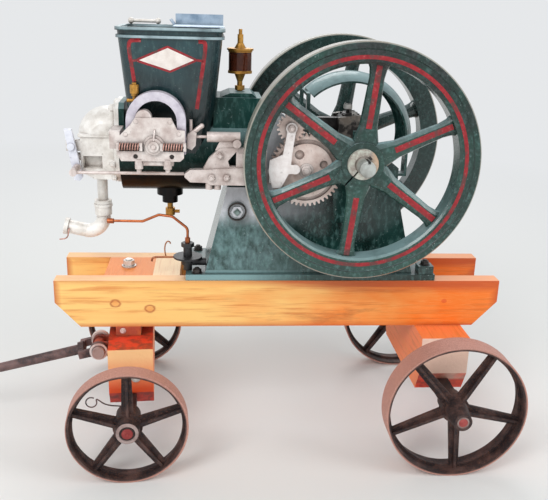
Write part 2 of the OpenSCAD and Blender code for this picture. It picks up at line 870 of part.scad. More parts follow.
module magneto_body() {
    face = -158;
    back = -150;
    boss = [-440, 29];
    color("Silver")
    at_crank() difference() {
        union() {
            side_plate(face, back)
                polygon([[-478, 87], [-404, 87], [-392, 63], [-375.5, 61], [-375.5, 19], [-514, 19],
                         [-514, 46], [-488, 72]]);
            slab([-477, -395], [back - 1, -106], [-4, 60]);
            translate([-461, 0, 86]) bar_y(16.5, -156, -132);
            translate([boss[0], 0, boss[1]]) {
                bar_y(22, face - 5, face + 1);
                bar_y(17, face - 11, face + 1);
                bar_y(11, face - 16, face + 1);
            }
            side_plate(face - 4, back)
                polygon([[-517, 12], [-508, -3], [-386, -3], [-378, 4], [-378, 18], [-517, 18]]);
            for (x = [-472, -412])
                translate([x, face + 2, 0]) {
                    bar_z(8.5, -20, 0);
                    bar_z(5, -27, -19);
                }
            slab([-462, -422], [face, back], [-12, -2]);
            translate([0, face - 7, 28]) bar_x(4, -512, -470);
            translate([0, face - 7, 28]) bar_x(4, -420, -374);
            for (x = [-514, -466, -424, -376])
                slab([x - 3, x + 3], [face - 12, face + 1], [20, 36]);
            slab([-531.5, -510], [face, -79.3], [22, 58]);
            slab([-472, -402], [-107, -60], [-24, -4]);
            slab([-472, -402], [-107, -84.5], [-5, 40]);
        }
        bar_x(jacket_r, jacket_front, jacket_back);
        for (x = [-478, -403])
            translate([x, 0, 7]) bar_y(5, face - 5, face + 1);
    }
}

module magnet() {
    mid = -436;
    half = 62;
    band = 18.5;
    top_z = 139.3;
    near = -149.7;
    far = -118;
    arc_z = top_z - half;
    color("Silver")
    at_crank() difference() {
        union() {
            translate([mid, 0, arc_z]) bar_y(half, near, far);
            slab([mid - half, mid + half], [near, far], [10, arc_z]);
        }
        translate([mid, 0, arc_z]) bar_y(half - band, near - 1, far + 1);
        slab([mid - half + band, mid + half - band], [near - 1, far + 1], [9, arc_z]);
    }
}

module trip_rod() {
    rod_y = -120;
    rod_z = 43.5;
    color("Silver")
    at_crank() {
        translate([0, rod_y, rod_z]) bar_x(3.2, -360, -330.3);
        side_plate(rod_y - 10, rod_y + 4)
            polygon([[-372, 20], [-362, 16], [-354, 26], [-352, 52], [-360, 58], [-371, 50]]);
        translate([-364, rod_y - 3, 0]) bar_z(3.5, 50, 80);
        link([-358, rod_y - 3, 54], [-341, rod_y - 3, 67], 5);
        translate([0, rod_y - 3, 40]) bar_x(5, -374, -360);
    }
}

module crank_guard() {
    inner = 146;
    sweep = 144;
    start = -11;
    crown = 80;
    color("Green")
    at_crank() {
        translate([-6.7, 0, 29.6]) rotate([90, 0, 0]) rotate([0, 0, start])
            rotate_extrude(angle = sweep)
                difference() {
                    intersection() {
                        translate([inner + 4 - crown, 0]) circle(r = crown);
                        translate([inner - 30, -52]) square([60, 104]);
                    }
                    translate([inner - crown, 0]) circle(r = crown);
                }
        for (s = [-1, 1]) {
            y0 = s > 0 ? 56 : -70;
            side_plate(y0, y0 + 14)
                polygon([[-112, 47.2], [-104, 42.6], [-104, 134], [-112, 134]]);
        }
        slab([-112, -104], [-70, 70], [128, 134]);
        slab([132, 138], [-16, 16], [-60, 8]);
        slab([105, 138], [-16, 16], [-60, -54]);
    }
}

module detent_arm() {
    near = -arm_y - arm_t;
    color("Silver")
    at_crank() difference() {
        union() {
            side_plate(near, -arm_y)
                polygon([[governor_x - 8, governor_z - 2], [governor_x + 10, governor_z],
                         [governor_x + 2, 8], [-150, -21], [-170, -60], [-189, -61], [-198, -26],
                         [-196, 0], [-168, 12]]);
            translate([governor_x, 0, governor_z]) bar_y(12, near, -arm_y);
            slab([-196, -176], [near + 1, -132], [-50, -30]);
            slab([-200, -176], [-133.5, -131.3], [-56, -24]);
            translate([-140, 0, -20]) bar_y(10, near, -arm_y + 4);
            side_plate(near, -arm_y) polygon([[-160, -30], [-140, -29], [-140, -11], [-160, -8]]);
        }
        translate([governor_x, 0, governor_z]) bar_y(governor_stud_r, near - 1, -arm_y + 1);
    }
}

// Crankshaft, flywheels and gears

module crankshaft() {
    color("LightSlateGray")
    at_crank() rotate([0, -pin_rest, 0]) {
        for (s = [-1, 1]) {
            y_out = s > 0 ? web_in : -web_out;
            bar_y(shaft_r, s > 0 ? web_in : -hub_disc_y, s > 0 ? hub_disc_y : -web_in);
            bar_y(end_r, s > 0 ? hub_disc_y - 1 : -shaft_end, s > 0 ? shaft_end : 1 - hub_disc_y);
            slab([-shaft_r - 5, crank_throw + crank_pin_r + 7], [y_out, y_out + web_out - web_in],
                 [-26, 26]);
        }
        translate([crank_throw, 0, 0]) bar_y(crank_pin_r, -web_in - 1, web_in + 1);
        rotate([0, pin_rest, 0]) side_plate(-gear_y - gear_w, -gear_y)
            gear_outline(crank_teeth, gear_module, cam_angle);
    }
}

// Oval spoke along X: it swells into the hub and again where it meets the rim.
// Each station is a distance from the axis and the half width of the oval there.
module flywheel_spoke(rim_in) {
    sides = 12;
    stations = [[30, 31], [52, 27], [80, 20], [rim_in - 28, 16.5], [rim_in - 10, 19], [rim_in + 3, 25]];
    last = len(stations) - 1;
    translate([0, spoke_y, 0]) polyhedron(
        points = [
            for (st = stations)
                for (k = [0 : sides - 1])
                    [st[0], spoke_t / 2 * sin(k * 360 / sides), st[1] * cos(k * 360 / sides)]
        ],
        faces = concat(
            [[for (k = [0 : sides - 1]) last * sides + k], [for (k = [0 : sides - 1]) sides - 1 - k]],
            [for (n = [0 : last - 1]) for (k = [0 : sides - 1])
                let (a = n * sides + k, b = n * sides + (k + 1) % sides) [a, b, b + sides]],
            [for (n = [0 : last - 1]) for (k = [0 : sides - 1])
                let (a = n * sides + k, b = n * sides + (k + 1) % sides) [a, b + sides, a + sides]]));
}

module flywheel(phase) {
    rim_in = flywheel_r - rim_depth;
    bevel = 3;
    clamp_angle = 210;
    clamp_out = hub_barrel_r + 14;
    color("Firebrick")
    rotate([0, -phase, 0]) difference() {
        union() {
            rotate([-90, 0, 0]) rotate_extrude()
                polygon([[rim_in, wheel_in], [flywheel_r - bevel, wheel_in],
                         [flywheel_r, wheel_in + bevel], [flywheel_r, wheel_out - bevel],
                         [flywheel_r - bevel, wheel_out], [flywheel_r - 15, wheel_out],
                         [flywheel_r - 17, wheel_out - 2], [rim_in + 5, wheel_out - 2],
                         [rim_in, wheel_out - 6]]);
            bar_y(hub_barrel_r, hub_inner_y, hub_barrel_y);
            bar_y(hub_disc_r, hub_inner_y, hub_disc_y);
            for (i = [0 : flywheel_spokes - 1])
                rotate([0, -i * 360 / flywheel_spokes, 0]) flywheel_spoke(rim_in);
            rotate([0, -clamp_angle, 0])
                slab([20, clamp_out], [hub_inner_y + 4, hub_barrel_y - 3], [-30, 30]);
        }
        bar_y(shaft_r, wheel_in - 1, hub_disc_y + 1);
        rotate([0, -clamp_angle, 0])
            slab([shaft_r - 3, clamp_out + 1], [hub_inner_y - 1, hub_disc_y + 1], [-2, 2]);
    }
}

module near_flywheel() {
    at_crank() mirror([0, 1, 0]) flywheel(23.6);
}

module far_flywheel() {
    at_crank() flywheel(21);
}

module connecting_rod() {
    rod_len = 95;
    bolt_z = big_end_r - 5;
    cup_z = big_end_r + 8;
    color("SlateGray")
    at_crank() rotate([0, -pin_rest, 0]) translate([crank_throw, 0, 0]) rotate([0, pin_rest, 0])
    difference() {
        union() {
            bar_y(big_end_r, -22, 22);
            slab([-rod_len, 0], [-11, 11], [-14, 14]);
            for (y = [-13, 13])
                for (z = [-bolt_z, bolt_z]) translate([0, y, z]) {
                    bar_x(4, -16, big_end_r - 1);
                    translate([8, 0, 0]) rotate([0, 90, 0]) cylinder(r = 7.5, h = 9, $fn = 6);
                }
            bar_z(4, big_end_r - 2, cup_z);
            bar_z(9, cup_z - 1, cup_z + 12);
            translate([-rod_len, 0, 0]) bar_y(20, -18, 18);
        }
        bar_y(crank_pin_r + run_fit, -23, 23);
        translate([-rod_len, 0, 0]) bar_y(11, -19, 19);
    }
}

module cam_gear() {
    disc_r = 59;
    disc_t = 3;
    face = -gear_y - gear_w - disc_t;
    color("SlateGray")
    at_crank() translate([cam_x, 0, cam_z])
    difference() {
        union() {
            side_plate(-gear_y - gear_w, -gear_y)
                gear_outline(cam_teeth, gear_module, cam_angle + 180 + 180 / cam_teeth);
            bar_y(disc_r, face, -gear_y);
        }
        bar_y(cam_stud_r + run_fit, face - 1, -gear_y + 1);
        difference() {
            bar_y(disc_r + 9, -gear_y - gear_w - 1, -gear_y - gear_w + 5);
            bar_y(disc_r, -gear_y - gear_w - 2, -gear_y - gear_w + 6);
        }
        translate([-16, 0, 34.5]) bar_y(10.5, face - 1, face + 9);
        for (a = [20, 245, 310])
            rotate([0, -a, 0]) translate([40, 0, 0]) bar_y(9, face - 1, face + 7);
    }
}

module governor_wheel() {
    latch_teeth = 19;
    latch_module = 3;
    face = -governor_y - governor_w;
    color("DarkSlateGray")
    at_crank() translate([governor_x, 0, governor_z])
    difference() {
        union() {
            side_plate(-gear_y - gear_w, -gear_y)
                gear_outline(governor_teeth, gear_module, governor_phase);
            bar_y(12, face, -gear_y);
            side_plate(face, -governor_y) gear_outline(latch_teeth, latch_module, 0);
        }
        bar_y(governor_stud_r + run_fit, face - 1, -gear_y + 1);
    }
}

// What is drawn

near_sill();
far_sill();
front_cross_member();
spacer_block();
front_bolster();
rear_axletree();
rear_axle();
king_bolt();
engine_base();
near_bearing_cap();
far_bearing_cap();
water_jacket();
hopper();
hopper_bar();
splash_sheet();
cylinder_head();
rocker_arm();
pushrod();
latch_bracket();
intake_elbow();
fuel_valve();
fuel_line();
drain_cock();
priming_cup();
drip_oiler();
oiler_glass();
magneto_body();
magnet();
trip_rod();
crank_guard();
detent_arm();
front_axletree();
front_axle();
drawbar_bracket();
drawbar();
front_near_wheel();
front_far_wheel();
rear_near_wheel();
rear_far_wheel();
crankshaft();
near_flywheel();
far_flywheel();
connecting_rod();
cam_gear();
governor_wheel();
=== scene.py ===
# Portable farm engine on a timber hand truck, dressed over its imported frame.
import math

import bmesh
import bpy
from mathutils import Matrix, Vector
from mathutils.bvhtree import BVHTree


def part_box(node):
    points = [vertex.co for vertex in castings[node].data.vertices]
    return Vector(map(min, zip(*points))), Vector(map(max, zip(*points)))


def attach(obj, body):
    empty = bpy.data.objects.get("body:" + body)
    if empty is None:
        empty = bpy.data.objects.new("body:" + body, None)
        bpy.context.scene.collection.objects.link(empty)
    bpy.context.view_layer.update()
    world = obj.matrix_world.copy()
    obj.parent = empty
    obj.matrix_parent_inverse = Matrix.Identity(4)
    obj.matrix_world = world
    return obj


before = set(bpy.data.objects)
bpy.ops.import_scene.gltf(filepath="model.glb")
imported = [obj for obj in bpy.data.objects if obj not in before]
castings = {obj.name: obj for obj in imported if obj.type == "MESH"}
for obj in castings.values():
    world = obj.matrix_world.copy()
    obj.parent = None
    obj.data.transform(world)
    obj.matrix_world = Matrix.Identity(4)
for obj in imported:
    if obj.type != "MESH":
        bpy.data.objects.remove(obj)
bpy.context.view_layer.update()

# Camera
# It stands where the photograph was taken from: a little above the hopper, turned
# a few degrees to the right, looking down at the truck.
stand = (0.2011, -1.75304, 1.00719)
pitch, yaw, roll = (math.radians(a) for a in (17.99, 5.11, 1.78))
focal_pixels = 763.16
photo_width = 548
film_width = 36
look = Vector((math.sin(yaw) * math.cos(pitch), math.cos(yaw) * math.cos(pitch), -math.sin(pitch)))
level = Vector((math.cos(yaw), -math.sin(yaw), 0))
upright = level.cross(look)
right = level * math.cos(roll) + upright * math.sin(roll)
top = upright * math.cos(roll) - level * math.sin(roll)
lens = bpy.data.cameras.new("camera")
lens.lens = focal_pixels / photo_width * film_width
lens.clip_end = 60
camera = bpy.data.objects.new("camera", lens)
camera.matrix_world = Matrix.Translation(stand) @ Matrix((right, top, -look)).transposed().to_4x4()
bpy.context.collection.objects.link(camera)
bpy.context.scene.camera = camera
bpy.context.scene.view_settings.view_transform = "Standard"


# Studio
# A plain pale floor under wide soft lamps, with a pale backdrop that metal and glass
# reflect too. The floor fades into the backdrop for the camera.
def linear(hex_colour):
    """Turns an sRGB hex colour into the linear colour that a shader takes."""
    parts = [int(hex_colour[i:i + 2], 16) / 255 for i in (1, 3, 5)]
    return [c / 12.92 if c <= 0.04045 else ((c + 0.055) / 1.055) ** 2.4 for c in parts] + [1]


def add(tree, kind, inputs=None, out=0, **settings):
    """Adds a node, sets its properties, fills or links its inputs and gives the output asked for.

    A colour may be given as hex.
    """
    made = tree.nodes.new(kind)
    for key, value in settings.items():
        setattr(made, key, value)
    for key, value in (inputs or {}).items():
        if isinstance(value, bpy.types.NodeSocket):
            tree.links.new(value, made.inputs[key])
        else:
            made.inputs[key].default_value = linear(value) if isinstance(value, str) else value
    return made.outputs[out] if len(made.outputs) else None


def new_material(name):
    """Starts a material; gives it with its emptied node tree and its place on the object."""
    made = bpy.data.materials.new(name)
    made.use_nodes = True
    made.node_tree.nodes.clear()
    return made, made.node_tree, add(made.node_tree, "ShaderNodeTexCoord", out="Object")


def lamp(name, place, aim, size, power):
    """Hangs a square soft lamp that points at a place on the engine."""
    data = bpy.data.lights.new(name, "AREA")
    data.size = size
    data.energy = power
    made = bpy.data.objects.new(name, data)
    made.location = place
    made.rotation_euler = (Vector(aim) - Vector(place)).to_track_quat("-Z", "Y").to_euler()
    bpy.context.collection.objects.link(made)


lamp("front_lamp", (-1.6, -2.9, 3.0), (0.2, 0, 0.5), 1.8, 86)
lamp("right_lamp", (3.0, -1.6, 2.0), (0.3, 0, 0.5), 1.6, 30)
lamp("back_lamp", (0.4, 3.2, 3.0), (0.2, 0, 0.5), 2.2, 52)
pale_sky = "#f6f8fa"
sky_light = 0.66
sky_seen = 0.86
world = bpy.data.worlds.new("backdrop")
bpy.context.scene.world = world
world.use_nodes = True
tree = world.node_tree
tree.nodes.clear()
seen = add(tree, "ShaderNodeLightPath", out="Is Camera Ray")
for ray in ("Is Transmission Ray", "Is Glossy Ray"):
    also = add(tree, "ShaderNodeLightPath", out=ray)
    seen = add(tree, "ShaderNodeMath", {0: seen, 1: also}, operation="MAXIMUM")
strength = add(tree, "ShaderNodeMapRange", {"Value": seen, "To Min": sky_light, "To Max": sky_seen})
sky = add(tree, "ShaderNodeBackground", {"Color": pale_sky, "Strength": strength})
add(tree, "ShaderNodeOutputWorld", {"Surface": sky})

floor_paint, tree, place = new_material("matt_studio_floor")
uneven = add(tree, "ShaderNodeTexNoise", {"Scale": 3.0, "Detail": 4.0})
tint = add(tree, "ShaderNodeMix", {0: uneven, 6: "#dfe0de", 7: "#e6e6e4"}, 2, data_type="RGBA")
matt = add(tree, "ShaderNodeBsdfPrincipled", {"Base Color": tint, "Roughness": 0.9})
away = add(tree, "ShaderNodeVectorMath", {0: place}, "Value", operation="LENGTH")
fade = add(tree, "ShaderNodeMapRange", {"Value": away, "From Min": 1.3, "From Max": 4.0})
to_camera = add(tree, "ShaderNodeLightPath", out="Is Camera Ray")
fade = add(tree, "ShaderNodeMath", {0: fade, 1: to_camera}, operation="MULTIPLY")
glow = add(tree, "ShaderNodeEmission", {"Color": pale_sky, "Strength": sky_seen})
blended = add(tree, "ShaderNodeMixShader", {0: fade, 1: matt, 2: glow})
add(tree, "ShaderNodeOutputMaterial", {"Surface": blended})
sweep = bmesh.new()
bmesh.ops.create_grid(sweep, x_segments=1, y_segments=1, size=14)
floor_mesh = bpy.data.meshes.new("studio_floor")
sweep.to_mesh(floor_mesh)
sweep.free()
floor_mesh.materials.append(floor_paint)
floor = bpy.data.objects.new("studio_floor", floor_mesh)
floor.location.z = -0.0006
bpy.context.collection.objects.link(floor)


# Truck timbers
# Sawn softwood beams, planed and coated with orange stain. The stain shows straight
# grain with darker late wood and a few small knots, and the edges have soaked up more of it.
# Upper faces carry a painted highlight, the sawn ends a pale painted highlight at the top, and
# corners and gaps a painted shade.
def mottle(tree, place, per_metre, detail=4.0, stretch=(1, 1, 1)):
    """Gives an uneven pattern with so many lumps to the metre, drawn out where stretch is small."""
    spread = add(tree, "ShaderNodeMapping", {"Vector": place, "Scale": stretch})
    return add(tree, "ShaderNodeTexNoise",
               {"Vector": spread, "Scale": per_metre, "Detail": detail, "Roughness": 0.6})


def cover(tree, *shares):
    """Multiplies shares; one given as (pattern, low, high) is first spread over 0 to 1."""
    total = None
    for share in shares:
        if isinstance(share, tuple):
            pattern, low, high = share
            share = add(tree, "ShaderNodeMapRange", {"Value": pattern, "From Min": low, "From Max": high})
        if total is not None:
            share = add(tree, "ShaderNodeMath", {0: total, 1: share}, operation="MULTIPLY")
        total = share
    return total


def layer(tree, under, over, *shares):
    """Lays one colour over another as far as the shares cover it."""
    return add(tree, "ShaderNodeMix", {0: cover(tree, *shares), 6: under, 7: over}, 2, data_type="RGBA")


def away_from(tree, place, centre, weights=(1, 0, 1)):
    """Gives the distance from a centre, with each axis weighted."""
    offset = add(tree, "ShaderNodeVectorMath", {0: place, 1: centre}, operation="SUBTRACT")
    offset = add(tree, "ShaderNodeVectorMath", {0: offset, 1: weights}, operation="MULTIPLY")
    return add(tree, "ShaderNodeVectorMath", {0: offset}, "Value", operation="LENGTH")


def dress(tree, inputs, *reliefs):
    """Ends a material with its shader, over reliefs of (pattern, depth in millimetres)."""
    for pattern, depth in reliefs:
        raised = {"Height": pattern, "Strength": 1.0, "Distance": depth / 1000}
        if "Normal" in inputs:
            raised["Normal"] = inputs["Normal"]
        inputs["Normal"] = add(tree, "ShaderNodeBump", raised)
    skin = add(tree, "ShaderNodeBsdfPrincipled", inputs)
    add(tree, "ShaderNodeOutputMaterial", {"Surface": skin})


def stained_timber(name, along, left="#ffce7a", right="#f67a16", knots=(), edges=None, red=None,
                   end=None, paint=("#d82c16", "#8a2018"), grain=0.55):
    """Stained softwood with its grain along an axis, paler to the left.

    Late wood lies about 7 mm apart, and the fibre is drawn 1 mm wide, coarser than real, to show.
    Edges are the corners of a beam whose edges soaked up more stain, and red is the least tilt of
    painted faces, with paint its two colours. End gives two colours and two heights for the sawn ends,
    from top to bottom: a pale painted highlight at the top that turns darker and redder towards the
    bottom. Grain is how strongly the late wood shows.
    """
    made, tree, place = new_material(name)
    run = "xyz".index(along)
    stretch = [0.045 if axis == run else 1 for axis in range(3)]
    rings = mottle(tree, place, 150, 5, stretch)
    fibre = mottle(tree, place, 900, 3, stretch)
    boards = mottle(tree, place, 38, 3, stretch)
    cloud = mottle(tree, place, 7, 3, [0.5 if axis == run else 1 for axis in range(3)])
    streaks = mottle(tree, place, 26, 6, [0.2 if axis == run else 1 for axis in range(3)])
    x, _, z = (add(tree, "ShaderNodeSeparateXYZ", {0: place}, axis) for axis in range(3))
    normal = add(tree, "ShaderNodeNewGeometry", out="Normal")
    facing = [add(tree, "ShaderNodeSeparateXYZ", {0: normal}, axis) for axis in range(3)]
    end_on = add(tree, "ShaderNodeMath", {0: facing[run]}, operation="ABSOLUTE")
    show = add(tree, "ShaderNodeMapRange",
               {"Value": end_on, "From Min": 0.9, "From Max": 0.5, "To Min": 0.25})
    # The cloud adds 0.45 on average, so the tone changes about between X 0.24 and 0.62.
    drift = add(tree, "ShaderNodeMath", {0: cloud, 1: 0.9, 2: x}, operation="MULTIPLY_ADD")
    wood = layer(tree, left, right, (drift, 0.69, 1.07))
    wood = layer(tree, wood, "#f0842c", (boards, 0.5, 0.72), 0.4)
    wood = layer(tree, wood, "#d2691a", (rings, 0.52, 0.66), show, grain)
    wood = layer(tree, wood, "#ffd792", (fibre, 0.5, 0.8), 0.25)
    # The rings add 0.4 of a knot's size on average, so its rim lies about at 1.4 of it.
    for spot, size, edge_colour, heart_colour in knots:
        far = away_from(tree, place, spot, (0.8, 0, 1.05))
        far = add(tree, "ShaderNodeMath", {0: rings, 1: size * 0.8, 2: far}, operation="MULTIPLY_ADD")
        rim = add(tree, "ShaderNodeMath", {0: far, 1: size * 1.4}, operation="SUBTRACT")
        rim = add(tree, "ShaderNodeMath", {0: rim}, operation="ABSOLUTE")
        wood = layer(tree, wood, heart_colour, (far, size * 1.4, size * 0.9), 0.6)
        wood = layer(tree, wood, edge_colour, (rim, size * 0.38, 0.0), 0.85)
    wood = layer(tree, wood, "#8a4218", (streaks, 0.6, 0.74), (x, -0.1, 0.45), show, 0.6)
    if edges:
        low, high = edges
        depth = add(tree, "ShaderNodeMath", {0: z, 1: cover(tree, (x, 0.25, 0.55), 0.022)}, operation="ADD")
        soaked = cover(tree, (depth, high[2] - 0.010, high[2] - 0.010 + 1 / 55))
        for reach in ((z, low[2] + 0.012, low[2]), (x, low[0] + 0.016, low[0]),
                      (x, high[0] - 0.022, high[0])):
            soaked = add(tree, "ShaderNodeMath", {0: soaked, 1: cover(tree, reach)}, operation="MAXIMUM")
        broken = (mottle(tree, place, 34, 5, stretch), 0.3, 0.5)
        wood = layer(tree, wood, "#c04a18", soaked, broken, (facing[2], 0.95, 0.6), 0.8)
        # Painted highlight: faces turned upward are painted paler, as light falls on them.
        wood = layer(tree, wood, "#ffc9a0", (facing[2], 0.6, 0.95), 0.55)
    if end:
        # The sawn ends run from a pale painted highlight at the top to darker and redder towards the bottom.
        painted_end_highlight = layer(tree, *end[:2], (z, *end[2:]))
        wood = layer(tree, wood, painted_end_highlight, (end_on, 0.5, 0.9), 0.85)
    if red:
        turn = "ABSOLUTE" if red > 0 else "MULTIPLY"
        tilt = add(tree, "ShaderNodeMath", {0: facing[2], 1: -1.0}, operation=turn)
        old_paint = layer(tree, *paint, (mottle(tree, place, 45, 5), 0.45, 0.62))
        wood = layer(tree, wood, old_paint, (tilt, abs(red), abs(red) + 0.2), (cloud, 0.2, 0.4), 0.92)
    # Painted shade: the wood turns dark red-brown where ambient occlusion finds corners and gaps.
    crevice_shade = add(tree, "ShaderNodeAmbientOcclusion", {"Distance": 0.03}, "AO", samples=4)
    wood = layer(tree, wood, "#7a2f12", (crevice_shade, 0.75, 0.3), 0.6)
    dress(tree, {"Base Color": wood, "Roughness": 0.52, "Coat Weight": 0.15, "Coat Roughness": 0.35},
          (fibre, 0.25), (rings, 0.8))
    return made


def finish(material, *nodes):
    """Gives a material to whole CAD nodes."""
    for name in nodes:
        castings[name].data.materials.clear()
        castings[name].data.materials.append(material)


sill_knots = [((-0.013, -0.103, 0.339), 0.0085, "#b4511a", "#ee9a48"),
              ((0.0653, -0.103, 0.3254), 0.0085, "#b4511a", "#ee9a48"),
              ((0.7582, -0.103, 0.3431), 0.004, "#e2501c", "#e0441a")]
finish(stained_timber("stained_softwood_sills", "x", knots=sill_knots, edges=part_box("near_sill")),
       "near_sill", "far_sill")
finish(stained_timber("stained_softwood_cross_member", "y", "#f28a32", "#e08434", grain=0.35),
       "front_cross_member")
finish(stained_timber("pale_softwood_spacer", "y", "#ffdcae", "#f9cd98", grain=0.25), "spacer_block")
# Painted shade: the bolster under the sills is painted dark red-brown for the shade beneath them.
finish(stained_timber("shade_darkened_softwood_bolster", "y", "#a8452f", "#9c3c2a"), "front_bolster")
finish(stained_timber("painted_softwood_front_axletree", "y", "#f98a48", "#f98a48", red=0.25,
                      end=("#ffcc92", "#ee4414", 0.240, 0.160)), "front_axletree")
finish(stained_timber("painted_softwood_rear_axletree", "y", "#f98448", "#f98448", red=-0.2,
                      end=("#ffdfcc", "#e83a1c", 0.176, 0.168), paint=("#ff4a28", "#c02c18")),
       "rear_axletree")


# Truck ironwork
# Cast wheels, a forged axle and drawbar that once were black: brown rust with dark
# remains of paint, and treads rubbed to a pale pinkish rust by the ground.
def rusty_iron(name, dark, rust, share, tread=None):
    """Old iron with patches of dark paint over rust, and grit 2 mm across.

    Share is where the paint gives way, and tread holds the axle's X and Z and the wheel's radius.
    """
    made, tree, place = new_material(name)
    patches = cover(tree, (mottle(tree, place, 26, 7), share - 0.08, share + 0.1))
    grit = mottle(tree, place, 420, 4)
    iron = layer(tree, dark, rust, patches)
    iron = layer(tree, iron, "#a0674a", (grit, 0.5, 0.75), 0.45)
    if tread:
        axle_x, axle_z, rim = tread
        reach = away_from(tree, place, (axle_x, 0, axle_z))
        rubbed = layer(tree, "#d9a595", "#b07c70", (grit, 0.3, 0.7))
        iron = layer(tree, iron, rubbed, (reach, rim - 0.0045, rim - 0.0015), 0.92)
    dress(tree, {"Base Color": iron, "Metallic": 0.25, "Roughness": 0.62}, (patches, 0.4), (grit, 0.7))
    return made


for end, rim in (("front", 0.130), ("rear", 0.158)):
    for side in ("near", "far"):
        wheel = f"{end}_{side}_wheel"
        low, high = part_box(wheel)
        tread = ((low[0] + high[0]) / 2, rim, rim)
        finish(rusty_iron(f"rusty_casting_{end}_{side}", "#1f191d", "#57413d", 0.53, tread), wheel)
forged = rusty_iron("rusty_forging", "#3e3639", "#77605f", 0.5)
finish(forged, "drawbar")
finish(rusty_iron("red_leaded_bracket", "#6a3028", "#b04a32", 0.42), "drawbar_bracket")
finish(rusty_iron("blackened_iron", "#231f22", "#54372f", 0.6), "front_axle", "rear_axle")


